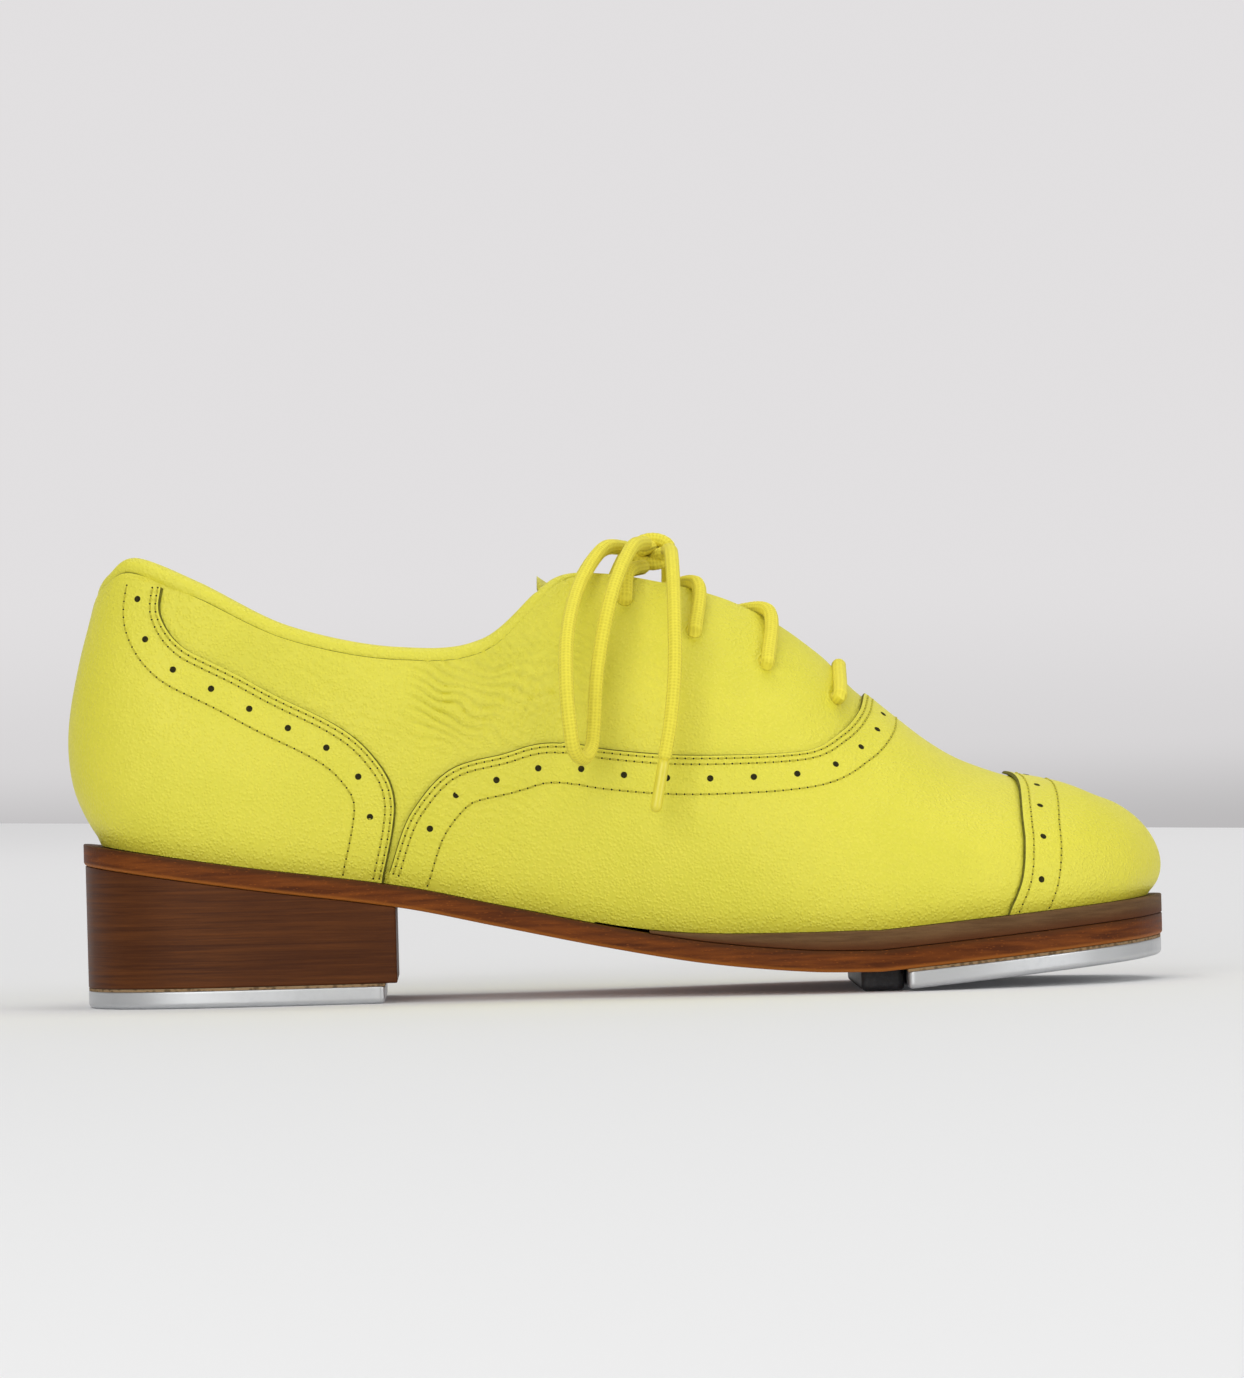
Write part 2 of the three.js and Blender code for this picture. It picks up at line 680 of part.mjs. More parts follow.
const vampEdge = through([...VAMP_EDGE.map((p) => onLast(p)), [throat, 1]]);
const foxingEdge = through(FOXING_EDGE.map((p) => onLast(p)));
const capPoints = [[footAt(CAP_FOOT), 0], ...CAP_EDGE.map((p) => onLast(p)), [capRidge(), 1]];
const capEdge = through(capPoints, [capPoints.at(-2)[0], 2 - capPoints.at(-2)[1]]);
const underlapShare = UNDERLAP / grade(PATTERN_LENGTH);

function capRidge() {
  let [low, high] = [throat, 1];
  const station = grade(CAP_RIDGE);
  for (let i = 0; i < 30; i++) {
    const middle = (low + high) / 2;
    if (lastPoint(-1, middle, 1).x < station) low = middle;
    else high = middle;
  }
  return low;
}

const shifted = (line, step) => (t) => [line(t)[0] + step, line(t)[1]];

// Toe cap, and the stiff puff below it.
function toePatches(edge, rows) {
  return both({ from: edge, to: (t) => [1, t], steps: 10, rows });
}
add("toe_cap", panel(toePatches(capEdge, 6), CAP_LAYER), LEATHER);

// Vamp: two wings behind the throat and a front that closes over the ridge.
const vampFoot = footAt(VAMP_EDGE[0][0]);
const throatFoot = footAt(THROAT_FOOT);
const VAMP_ROWS = 8;
const ROOM_MARGIN = 0.01; // share of the height that the room cut for the vamp passes its edge
const vampFront = shifted(capEdge, underlapShare);
const vampWing = {
  from: straight([vampFoot, 0], [throatFoot, 0]),
  to: vampEdge,
  steps: 12,
  rows: VAMP_ROWS,
};
const vampNose = {
  from: straight([throatFoot, 0], [throat, 1]),
  to: vampFront,
  steps: VAMP_ROWS,
  rows: 4,
};
const raised = (line, step) => (t) => [line(t)[0], Math.min(1, line(t)[1] + step)];
const roomWing = { ...vampWing, to: raised(vampWing.to, ROOM_MARGIN) };
const vampRoom = panel([...both(roomWing), ...both(vampNose)], VAMP_LAYER, LAYER + SEAT_GAP);
const vampSkin = panel([...both(vampWing), ...both(vampNose)], VAMP_LAYER);
add("vamp", vampSkin, LEATHER);

// The rolled collar round the opening, and the room that the panels leave for it.
const collarPoints = [];
for (let i = -12; i <= 12; i++) {
  const u = (Math.abs(i) / 12) * (facing - 0.01);
  collarPoints.push(beneath(i < 0 ? -1 : 1, [u, 1], COLLAR_DEPTH));
}
add("collar_roll", cord(collarPoints, COLLAR_RADIUS, 32), LEATHER);
const collarRoom = cord(collarPoints, COLLAR_RADIUS + SEAT_GAP, 32);

// Quarters: from the back seam to below the vamp, up to the collar and along the facing.
const BACK_SEAM = 0.001;
const quarterFoot = footAt(VAMP_EDGE[0][0]) + underlapShare;
const quarterLow = through([
  [BACK_SEAM, 0], [quarterFoot / 3, 0], [(2 * quarterFoot) / 3, 0], [quarterFoot, 0],
  ...[0.2, 0.4, 0.6, 0.8, 1].map((t) => lowered(shifted(vampEdge, underlapShare / 2), 0.1 * (1 - t) + 0.05)(t)),
]);
const collarTop = (u) => 1 - COLLAR_CLEAR * clamp((facing + 0.03 - u) / 0.03, 0.3, 1);
const quarterHigh = (t) => {
  const u = mix(BACK_SEAM, throat - 0.006, t);
  return [u, collarTop(u)];
};
const quarterPatch = { from: quarterLow, to: quarterHigh, steps: 16, rows: 6 };
const eyeletPlaces = EYELETS.map((p) => onLast(p));

function radialHole(side, at, radius, low, high) {
  const centre = lastPoint(side, ...at);
  const normal = lastNormal(side, ...at);
  const turn = new THREE.Quaternion().setFromUnitVectors(new THREE.Vector3(0, 0, 1), normal);
  return cylinder(radius, -high, -low, 8).applyQuaternion(turn).translate(...centre.toArray());
}

const eyeletHoles = (side) => eyeletPlaces.map((at) => radialHole(side, at, EYELET_BORE, -4, 14));

for (const [word, side] of SIDES) {
  const skin = panel([{ ...quarterPatch, side }], QUARTER_LAYER);
  add(`quarter_${word}`, cut(skin, [vampRoom, vampSkin, collarRoom, ...eyeletHoles(side)]), LEATHER);
}

// Foxing over the heel, the counter under the quarters and the stays under the facings.
const foxingLow = straight([0, 0], [footAt(FOXING_EDGE[0][0]), 0]);
const foxingTop = foxingEdge(1);
const foxingPatch = { from: (t) => [0, t * foxingTop[1]], to: foxingEdge, steps: 12, rows: 6 };
add("heel_foxing", panel(both(foxingPatch), VAMP_LAYER), LEATHER);

const counterPatch = {
  from: foxingLow,
  to: (t) => [mix(0, foxingLow(1)[0] - 0.03, t), mix(0.72, 0.5, t)],
  steps: 9,
  rows: 5,
};
add("heel_counter", panel(both(counterPatch), STIFFENER_LAYER + COUNTER_SINK, SKIN - 0.4), BOARD);

const stayPatch = {
  from: straight([facing + 0.012, 0.78], [throat - 0.03, 0.66]),
  to: straight([facing + 0.012, 0.975], [throat - 0.03, 0.975]),
  steps: 8,
  rows: 3,
};
for (const [word, side] of SIDES) {
  const stay = panel([{ ...stayPatch, side }], STIFFENER_LAYER + STAY_SINK, SKIN - 0.4);
  const room = eyeletPlaces.map((at) => radialHole(side, at, EYELET_RIM + SEAT_GAP, -4, 14));
  add(`facing_stay_${word}`, cut(stay, room), BOARD);
  eyeletPlaces.forEach((at, i) => {
    const depth = STIFFENER_LAYER * LAYER + EYELET_SINK;
    const ring = radialHole(side, at, EYELET_RIM, depth, depth + EYELET_THICK);
    const bore = radialHole(side, at, EYELET_BORE, depth - 1, depth + EYELET_THICK + 1);
    add(`eyelet_${word}_${i + 1}`, cut(ring, [bore]), STEEL);
  });
}

// Linings: one round the heel and waist, one under the vamp, meeting at a slanted seam.
const LINING_SEAM = 0.004;
const seamFoot = footAt(172);
const liningSeam = straight([seamFoot, 0], [throat, 1]);
const quarterLining = {
  from: straight([0, 0], [seamFoot - LINING_SEAM, 0]),
  to: (t) => {
    const u = mix(0, throat - 0.01, t);
    return [u, collarTop(u)];
  },
  steps: 18,
  rows: 6,
};
const laceHoles = SIDES.flatMap(([, side]) => eyeletPlaces.map((at) => radialHole(side, at, EYELET_RIM, -4, 14)));
add("quarter_lining", cut(panel(both(quarterLining), LINING_LAYER), laceHoles), LINING);
const vampLining = { from: liningSeam, to: (t) => [1, t], steps: 10, rows: 8 };
add("vamp_lining", cut(panel(both(vampLining), LINING_LAYER), laceHoles), LINING);
const puff = panel(toePatches(shifted(capEdge, 0.03), 5), STIFFENER_LAYER, SKIN - 0.4);
add("toe_puff", cut(puff, [panel(both(vampLining), LINING_LAYER - 0.25)]), BOARD);

// Tongue, an arched strip under the facings.
function tongueRings() {
  const columns = 6;
  return TONGUE.map(([station, height, half, droop]) => {
    const x = grade(station);
    const row = (lift) => {
      const points = [];
      for (let i = 0; i <= columns; i++) {
        const t = (2 * i) / columns - 1;
        points.push(new THREE.Vector3(x, t * half + bend(x), height - droop * t * t + lift));
      }
      return points;
    };
    return [...row(0).reverse(), ...row(-TONGUE_THICK)];
  });
}
add("tongue", lofted(tongueRings()), LEATHER);

// ---------- lace ----------

const knotStation = grade(KNOT[0]);
const laceCentre = bend(knotStation);
const OVER = 2.3;
const UNDER = UPPER_DEPTH + 3;
const inHole = (side, k) => [-0.4, 2.5, 5, UNDER - 1].map((depth) => beneath(side, eyeletPlaces[k], depth));
const overEdge = (side, k) => beneath(side, [eyeletPlaces[k][0], 0.98], -OVER);
const underEdge = (side, k) => beneath(side, [eyeletPlaces[k][0] - 0.004, 0.96], UNDER);

// One half of the lace: from the middle of the lowest bar down its hole, up the next one, and
// then across to the other side and up at each pair.
function strand(side) {
  const points = [overEdge(-side, 0).lerp(overEdge(side, 0), 0.5), ...inHole(side, 0)];
  points.push(...inHole(side, 1).reverse(), overEdge(side, 1));
  let here = side;
  for (let k = 2; k < EYELETS.length; k++) {
    const across = -here;
    points.push(overEdge(here, k - 1).lerp(underEdge(across, k), 0.5));
    here = across;
    points.push(underEdge(here, k), ...inHole(here, k).reverse(), overEdge(here, k));
  }
  const beside = here * KNOT_SIZE[1];
  points.push(new THREE.Vector3(knotStation - 2, laceCentre + beside, KNOT[1] - KNOT_SIZE[2]));
  return points;
}
add("lacing", joined([cord(strand(-1), LACE_RADIUS, 44), cord(strand(1), LACE_RADIUS, 44)]), LACE);

const knot = new THREE.SphereGeometry(1, 10, 6).scale(...KNOT_SIZE).translate(knotStation, laceCentre, KNOT[1]);
add("lace_knot", knot, LACE);

for (const [word, side] of SIDES) {
  const place = ([x, y, z]) => new THREE.Vector3(grade(x), laceCentre + side * y, z);
  add(`bow_loop_${word}`, cord(LOOP_PATH.map(place), LACE_RADIUS, 24), LACE);
  const end = END_PATH.map(place);
  add(`lace_end_${word}`, cord(end, LACE_RADIUS, 14), LACE);
  const down = end.at(-1).clone().sub(end.at(-2)).normalize();
  const from = end.at(-1).clone().addScaledVector(down, SEAT_GAP);
  const to = from.clone().addScaledVector(down, AGLET_LENGTH);
  add(`aglet_${word}`, cord([from, from.clone().lerp(to, 0.5), to], AGLET_RADIUS, 2), LACE);
}

// ---------- placing ----------

const tapBack = outline(0, TAP_SETBACK).x;
const tapFront = grade(HEEL_BREAST - HEEL_TAP_BACKSET);
shoe.position.set(-(tapBack + tapFront) / 2, 0, 0);

export default shoe;
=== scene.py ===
"""Tap Oxford: a lace-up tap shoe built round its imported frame."""

import math

import bmesh
import bpy
import numpy as np
from bpy.props import FloatProperty, FloatVectorProperty, PointerProperty
from mathutils import Matrix, Vector, noise
from mathutils.bvhtree import BVHTree
from mathutils.kdtree import KDTree


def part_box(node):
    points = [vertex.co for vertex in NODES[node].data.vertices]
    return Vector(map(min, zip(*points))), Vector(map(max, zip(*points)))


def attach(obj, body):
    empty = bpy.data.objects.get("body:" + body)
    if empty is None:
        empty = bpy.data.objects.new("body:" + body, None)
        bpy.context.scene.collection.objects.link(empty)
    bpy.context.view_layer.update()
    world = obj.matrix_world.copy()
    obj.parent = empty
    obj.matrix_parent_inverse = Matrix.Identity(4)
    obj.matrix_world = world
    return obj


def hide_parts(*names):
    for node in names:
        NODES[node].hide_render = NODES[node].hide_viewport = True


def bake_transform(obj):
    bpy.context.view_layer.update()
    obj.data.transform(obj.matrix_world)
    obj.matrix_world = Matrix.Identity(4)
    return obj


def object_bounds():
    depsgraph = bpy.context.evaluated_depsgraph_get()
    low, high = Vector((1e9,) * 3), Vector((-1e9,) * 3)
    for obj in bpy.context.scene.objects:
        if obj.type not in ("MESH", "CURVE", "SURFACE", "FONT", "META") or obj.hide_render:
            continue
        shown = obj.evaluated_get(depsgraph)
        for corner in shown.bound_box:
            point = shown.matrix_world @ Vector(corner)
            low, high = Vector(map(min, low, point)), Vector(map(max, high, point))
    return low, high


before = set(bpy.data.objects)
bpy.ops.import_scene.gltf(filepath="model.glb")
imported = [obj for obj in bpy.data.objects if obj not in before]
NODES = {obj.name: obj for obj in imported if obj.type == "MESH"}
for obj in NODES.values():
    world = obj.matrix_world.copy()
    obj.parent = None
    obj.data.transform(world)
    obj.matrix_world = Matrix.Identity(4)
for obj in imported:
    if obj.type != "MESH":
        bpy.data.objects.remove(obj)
CAD_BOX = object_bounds()

bl_info = {
    "name": "Tap Oxford",
    "version": (1, 0, 0),
    "blender": (4, 5, 0),
    "location": "3D View > Sidebar > Tap Oxford",
    "description": "Builds a lace-up tap shoe with its leather, stitching, laces, heel and taps",
    "category": "Object",
}

# ---------- patterns, in millimetres ----------
# Stations are measured from the back of the heel to the toe, heights from the floor.

MM = 0.001
TAP_PLATE = 4.4
TAP_BOARD = 0.8
TAP_STACK = TAP_PLATE + TAP_BOARD
TAP_BEVEL = 1.3
TAP_SETBACK = 0.4
HEEL_RISE = TAP_STACK + 31.5
HEEL_BREAST = 85.5
HEEL_TAP_BACKSET = 3.2
TOE_TAP_START = 215
PAD_LENGTH = 11
PAD_INSET = 9
PAD_END = TOE_TAP_START - 0.6
TOE_SPRING = 0.083
BALL_STATION = 208
OUTSOLE = 5.5
WELT = 4.6
WELT_START = 136
WELT_PIECE_START = 150
WELT_FULL = 204
SEAT_GAP = 0.3
FEATHER_INSET = 3.5
SKIN = 1.0
LAYER = 1.45
LINING_LAYER = 4
UPPER_DEPTH = LINING_LAYER * LAYER + SKIN
UNDERLAP = 7 / 285
COLLAR_RADIUS = 2.6
COLLAR_DEPTH = 3.7
COLLAR_CLEAR = 0.05
SHANK_THICK = 1.2
INSOLE_BOARD = 2.2
SOCK = 1.4
INSOLE_INSET = FEATHER_INSET + UPPER_DEPTH + 1.4
LACE_REST = -0.6  # depth of the lace where it lies on the leather
LACE_UNDER = UPPER_DEPTH + 3
AGLET_LENGTH = 13
AGLET_RADIUS = 1.5
HEEL_BACK = 5
PLACE = (HEEL_BACK + TAP_SETBACK + HEEL_BREAST - HEEL_TAP_BACKSET) / 2

OUTLINE = [
    (5, 0), (7.5, 14), (16, 25), (32, 31.5), (58, 33), (87, 31), (115, 30), (142, 34.5),
    (167, 42), (190, 48), (211, 50), (231, 48.5), (249, 44), (265, 36), (277.5, 23), (284, 0),
]
RIBS = len(OUTLINE) - 1
THROAT = 10 / RIBS
FACING = 7 / RIBS

# Each rib of the last: top station, half width and height, lower curve out and up, upper curve out and down.
RIB_SHAPES = [
    (9, 0, 65.5, 12, 16, 10, 30), (11.5, 10, 69, 11, 16, 9, 28), (19, 18, 73.5, 9, 18, 6, 26),
    (35, 23.5, 69.5, 6, 20, 4.5, 24), (60, 26.5, 60.8, 5, 20, 4, 20), (87, 28, 59.2, 6, 20, 4, 18),
    (110, 26.5, 67.5, 8, 24, 7, 20), (131, 21, 90.5, 9, 28, 12, 17), (157, 14, 91.2, 9, 28, 18, 7),
    (184, 8, 81.3, 9, 26, 21, 4), (209, 0, 60.8, 9, 22, 25, 2), (228, 0, 44, 8, 20, 24, 1),
    (243, 0, 36, 7, 17, 22, 0.5), (255, 0, 32, 7, 14, 19, 0), (262, 0, 28, 8, 10, 15.5, 1),
    (265, 0, 26.5, 10, 8, 13.5, 1.5),
]
CENTRE_LINE = [(0, 0), (60, 0), (115, -3), (190, -2), (240, 1), (285, 6)]
PITCH = [(0, 1.03), (45, 0.8), (87, 0.605), (112, 0.43), (138, 0.25), (164, 0.1), (190, 0.015), (208, 0)]

VAMP_EDGE = [
    (84, 33), (90, 48.5), (101.5, 60), (118, 64.3), (140, 63.7), (166, 61.7), (190, 62.3), (201, 67),
    (207, 73),
]
FOXING_EDGE = [(82.5, 33), (86, 51), (81, 63), (70, 72.5), (50, 83.3), (33, 92.5), (27, 101), (27.5, 108)]
CAP_FOOT = 241.5
CAP_RIDGE = 243.5
CAP_EDGE = [(245, 27), (246.3, 37), (246.3, 46)]
EYELETS = [(201, 76), (182.5, 85.5), (164, 94), (146.5, 102.5)]
TONGUE = [
    (124, 108.4, 12.5, 2), (134, 101.6, 14, 5), (150, 92.5, 16, 6), (168, 86, 16, 5), (188, 72.5, 14, 4),
    (205, 61.5, 12, 3), (220, 58.4, 9, 3),
]
TONGUE_THICK = 2.4
LOOP_PATH = [
    (147.6, 4, 115), (141, 16, 114.6), (134.4, 31.5, 105), (131, 45, 93), (130.3, 53, 80), (131, 54.5, 68.5),
    (131.9, 52.6, 63.4), (134, 48, 61.3), (136.1, 43.4, 63.4), (137, 41.5, 68.5), (138.5, 39.8, 84),
    (142.5, 34, 102), (148, 21, 114.3), (152.6, 7.6, 116.2),
]
END_PATH = [
    (157.7, 5.6, 114), (158.5, 20, 112.5), (158.5, 34, 99.5), (158, 42, 83), (156.5, 46, 70), (154.5, 48, 60),
]
KNOT = (154, 113.7)
KNOT_SIZE = (7, 5.5, 3.6)

# How far the seam rows lie inside a panel's edge: two close rows and a last row, with punched holes
# between them.
SEAM_ROWS = (1.1, 2.6, 10.4)
HOLE_ROW = 6.3
CAP_HOLE_ROW = 5.3
CAP_HOLE_PITCH = 12.6
SEAM_FOOT = 0.004  # how far down and up the last the rows run
SEAM_TOP = 0.97
FOLD_TRIM = 0.95  # points of a row that come nearer to the edge than this share of its distance are left out
STITCH_ARCH = ((0.2, -0.7), (0.32, 0.35), (0.5, 0.6), (0.68, 0.35), (0.8, -0.7))
MARK_RIM = ((1.12, 0.02), (1.04, 0.08), (0.95, 0.09), (0.8, 0.04), (0.0, 0.03))
MARK_SIDES = 14
NEEDLE_HOLE = 0.27
QUARTER_DEPTH = 1.85  # in layers
QUARTER_RISE = 1.15  # how much the quarters fill out between the seams
COLLAR_SINK = 0.5
COLLAR_RUN = 0.03  # the share of the last that the collar runs on along the facing
LINING_SEAM = 172
THROAT_FOOT = 214

# Clearances between pieces that lie on one another.
WELT_SEAT = 0.12
HEEL_SEAT = 0.08
BOARD_SEAT = 0.02
BOARD_TOP_SEAT = 0.06
PAD_SEAT = 0.05

# The leather panels: rows from a cut edge, the width given the painted shade of that edge, and how the foot is
# seated.
ROLL = (0, 0.12, 0.3, 0.55, 0.85, 1.2, 1.7)
EDGE_SHADE = 0.45
FOOT_BAND = 0.03  # the share of a panel's height over which its foot comes down to the sole
FOOT_DROP = 0.2
UNCUT = 50.0  # the distance from a cut edge that stands for having none

RIM_SUPPORT = 0.25
CAP_COLUMNS = 6
CORNER_STEPS = 7
BRAID_PITCH = 2.4
BRAID_DEPTH = 0.05
PATH_STEP = 0.5

# ---------- stage, in metres, degrees and watts ----------

CAMERA_AIM = (0.1005, 0.0786)
CAMERA_YAW = -1.0
CAMERA_ROLL = -1.55
CAMERA_DISTANCE = 2.175
CAMERA_LENS = 225.0
WALL_BEHIND = 7.0
FLOOR_BACK = (-0.37, 3.77, 0.37, 2.28)  # two points of the floor's back edge
FLOOR_REACH = 6.0
LAMP_AIM = (0.1, 0, 0.05)
LAMPS = (
    ("overhead", (0.1, 0.15, 2.4), 2.2, 24.0),
    ("front", (-0.9, -2.5, 1.05), 1.7, 29.0),
    ("side", (1.9, -1.2, 0.75), 1.1, 13.0),
)
WORLD_LIGHT = 0.38
STEEL_COLOUR = (0.55, 0.55, 0.56)

# ---------- curves ----------


def hermite(before, start, end, after, t):
    b = end - before
    c = 2 * before - 5 * start + 4 * end - after
    d = -before + 3 * start - 3 * end + after
    return (2 * start + b * t + c * t * t + d * t**3) / 2


def along(values, t, ends=1):
    """Smooth through a list, which goes on past both ends as its mirror image."""
    v = np.asarray(values, float)
    v = np.concatenate([[ends * v[1]], v, [ends * v[-2]]])
    i = np.clip(np.floor(t).astype(int), 0, len(v) - 4)
    return hermite(v[i], v[i + 1], v[i + 2], v[i + 3], t - i)


def profile(points, x):
    """Height over station: smooth through the points and level beyond them."""
    xs, ys = np.array(points, float).T
    slope = np.empty(len(xs))
    slope[1:-1] = (ys[2:] - ys[:-2]) / (xs[2:] - xs[:-2])
    slope[0] = (ys[1] - ys[0]) / (xs[1] - xs[0])
    slope[-1] = (ys[-1] - ys[-2]) / (xs[-1] - xs[-2])
    x = np.clip(x, xs[0], xs[-1])
    i = np.clip(np.searchsorted(xs, x, side="right") - 1, 0, len(xs) - 2)
    step = xs[i + 1] - xs[i]
    t = (x - xs[i]) / step
    rise = ys[i + 1] - ys[i]
    a, b = slope[i] * step, slope[i + 1] * step
    return ys[i] + t * a + t * t * (3 * rise - 2 * a - b) + t**3 * (a + b - 2 * rise)


def smoothstep(x, low, high):
    t = np.clip((x - low) / (high - low), 0, 1)
    return t * t * (3 - 2 * t)


def bend(x):
    return profile(CENTRE_LINE, x)


def sole_bottom(x):
    x = np.asarray(x, float)
    back = TAP_STACK + (HEEL_RISE - TAP_STACK) * profile(PITCH, x)
    return np.where(x > BALL_STATION, TAP_STACK + TOE_SPRING * (x - BALL_STATION), back)


def outsole_top(x):
    return sole_bottom(x) + OUTSOLE


def feather(x):
    welt = WELT * smoothstep(np.asarray(x, float), WELT_START, WELT_FULL)
    return outsole_top(x) + welt + np.where(welt > 0, SEAT_GAP, 0)


def plate_bottom(x):
    return sole_bottom(x) - TAP_STACK


def outline(u, inset=0.0):
    """Half outline of the sole at u, heel 0 to toe 1: station, half width and outward normal."""
    t = np.clip(np.asarray(u, float), 0, 1) * RIBS
    xs, ys = [p[0] for p in OUTLINE], [p[1] for p in OUTLINE]
    a, b = np.maximum(t - 0.01, 0), np.minimum(t + 0.01, RIBS)
    nx = -(along(ys, b, -1) - along(ys, a, -1))
    ny = along(xs, b) - along(xs, a)
    nx = np.where(t == 0, -1.0, np.where(t == RIBS, 1.0, nx))
    ny = np.where((t == 0) | (t == RIBS), 0.0, ny)
    size = np.hypot(nx, ny)
    nx, ny = nx / size, ny / size
    return along(xs, t) - nx * inset, np.maximum(0, along(ys, t, -1) - ny * inset), nx, ny


def outline_at(station, inset=0.0):
    low, high = 0.0, 1.0
    for _ in range(40):
        middle = (low + high) / 2
        if outline(middle, inset)[0] < station:
            low = middle
        else:
            high = middle
    return (low + high) / 2


def last_point(side, u, v):
    """The last's surface: side -1 lateral and 1 medial, u heel to toe, v from the sole up."""
    side, u, v = np.broadcast_arrays(*(np.asarray(a, float) for a in (side, u, v)))
    side, u, v = side.copy(), u.copy(), v.copy()
    for past, mirror in ((u < 0, -u), (u > 1, 2 - u)):
        side = np.where(past, -side, side)
        u = np.where(past, mirror, u)
    closed = u >= THROAT - 1e-9
    past = (v > 1) & closed
    side = np.where(past, -side, side)
    v = np.where(past, 2 - v, v)
    foot_x, foot_y, nx, ny = outline(u, FEATHER_INSET)
    t = u * RIBS
    ribs = list(zip(*RIB_SHAPES))
    top_x, top_z = along(ribs[0], t), along(ribs[2], t)
    top_y = np.where(closed, 0, np.maximum(0, along(ribs[1], t, -1)))
    low_out, low_up, high_out, high_down = (along(ribs[k], t) for k in range(3, 7))
    ground = feather(foot_x) + SEAT_GAP
    w = 1 - v
    parts = (w**3, 3 * w * w * v, 3 * w * v * v, v**3)

    def curve(a, b, c, d):
        return parts[0] * a + parts[1] * b + parts[2] * c + parts[3] * d

    x = curve(foot_x, foot_x + nx * low_out, top_x + nx * high_out, top_x)
    y = curve(foot_y, foot_y + ny * low_out, top_y + ny * high_out, top_y)
    z = curve(ground, ground + low_up, ground + top_z - high_down, ground + top_z)
    return np.stack([x, side * y + bend(x), z], -1)


def unit(vectors):
    return vectors / np.maximum(np.linalg.norm(vectors, axis=-1, keepdims=True), 1e-12)


def last_normal(side, u, v):
    step = 0.004
    u, v = np.asarray(u, float), np.maximum(np.asarray(v, float), 0)
    highest = np.where((v + step > 1) & (u < THROAT - 1e-9), v, v + step)
    lengthways = last_point(side, u + step, v) - last_point(side, u - step, v)
    upwards = last_point(side, u, highest) - last_point(side, u, np.maximum(0, v - step))
    return unit(np.cross(lengthways, upwards) * -np.asarray(side, float)[..., None])


def beneath(side, u, v, depth):
    return last_point(side, u, v) - last_normal(side, u, v) * np.asarray(depth, float)[..., None]


def on_last(points, side=-1):
    """The (u, v) of points given by station and height, seen from the side."""
    points = np.array(points, float)
    u = np.array([outline_at(x) for x in points[:, 0]])
    v = np.full(len(u), 0.5)
    step = 1e-4
    for _ in range(40):
        p = last_point(side, u, v)
        du = (last_point(side, u + step, v) - p) / step
        dv = (last_point(side, u, v - step) - p) / -step
        scale = du[:, 0] * dv[:, 2] - dv[:, 0] * du[:, 2]
        ex, ez = points[:, 0] - p[:, 0], points[:, 1] - p[:, 2]
        u = np.clip(u + np.clip((ex * dv[:, 2] - ez * dv[:, 0]) / scale, -0.05, 0.05), 0.001, 0.999)
        v = np.clip(v + np.clip((du[:, 0] * ez - du[:, 2] * ex) / scale, -0.1, 0.1), 0.001, 0.999)
    return np.stack([u, v], -1)


def through(points, beyond=None):
    """A smooth line through (u, v) points, as a function of 0 to 1."""
    p = np.array(points, float)
    p = np.vstack([p[:1], p, [p[-1] if beyond is None else beyond]])

    def line(t):
        at = np.asarray(t, float) * (len(p) - 3)
        i = np.clip(np.floor(at).astype(int), 0, len(p) - 4)
        k = (at - i)[..., None]
        uv = hermite(p[i], p[i + 1], p[i + 2], p[i + 3], k)
        return np.stack([uv[..., 0], np.clip(uv[..., 1], 0, 1)], -1)

    return line


def straight(start, end):
    start, end = np.array(start, float), np.array(end, float)
    return lambda t: start + (end - start) * np.asarray(t, float)[..., None]


def shifted(line, step):
    return lambda t: line(t) + np.array([step, 0.0])


def reversed_line(line):
    return lambda t: line(1 - np.asarray(t, float))


def foot_at(station):
    return outline_at(station, FEATHER_INSET)


def cap_ridge():
    low, high = THROAT, 1.0
    for _ in range(30):
        middle = (low + high) / 2
        if last_point(-1, middle, 1.0)[0] < CAP_RIDGE:
            low = middle
        else:
            high = middle
    return low


vamp_edge = through([*on_last(VAMP_EDGE), (THROAT, 1)])
FOXING_LINE = on_last(FOXING_EDGE)
foxing_edge = through([(FOXING_LINE[0][0], 0), *FOXING_LINE[1:]])
CAP_LINE = [(foot_at(CAP_FOOT), 0), *on_last(CAP_EDGE), (cap_ridge(), 1)]
cap_edge = through(CAP_LINE, (CAP_LINE[-2][0], 2 - CAP_LINE[-2][1]))
EYELET_PLACES = on_last(EYELETS)


def collar_top(u):
    return 1 - COLLAR_CLEAR * np.clip((FACING + 0.03 - u) / 0.03, 0.3, 1)


def inside_line(side, line, distance, samples=400):
    """A panel's edge line moved into the panel by a distance over the leather, as (u, v) points."""
    uv = np.array(line(np.linspace(0, 1, samples)))
    steps = 8
    h = 1e-4
    for _ in range(steps):
        u, v = uv[:, 0], uv[:, 1]
        p = last_point(side, u, v)
        du = (last_point(side, u + h, v) - p) / h
        dv = (last_point(side, u, v - h) - p) / -h
        tangent = unit(np.gradient(p, axis=0))
        normal = unit(np.cross(du, dv) * -side)
        into = np.cross(normal, tangent) * side * (distance / steps)
        a, b, c = (du * du).sum(-1), (du * dv).sum(-1), (dv * dv).sum(-1)
        e, f = (into * du).sum(-1), (into * dv).sum(-1)
        scale = a * c - b * b
        uv = uv + np.stack([(e * c - f * b) / scale, (f * a - e * b) / scale], -1)
    return uv


# ---------- meshes ----------


def placed(points):
    """Points by station, offset and height in millimetres, in the row frame in metres."""
    return (np.asarray(points, float) - np.array([PLACE, 0, 0])) * MM


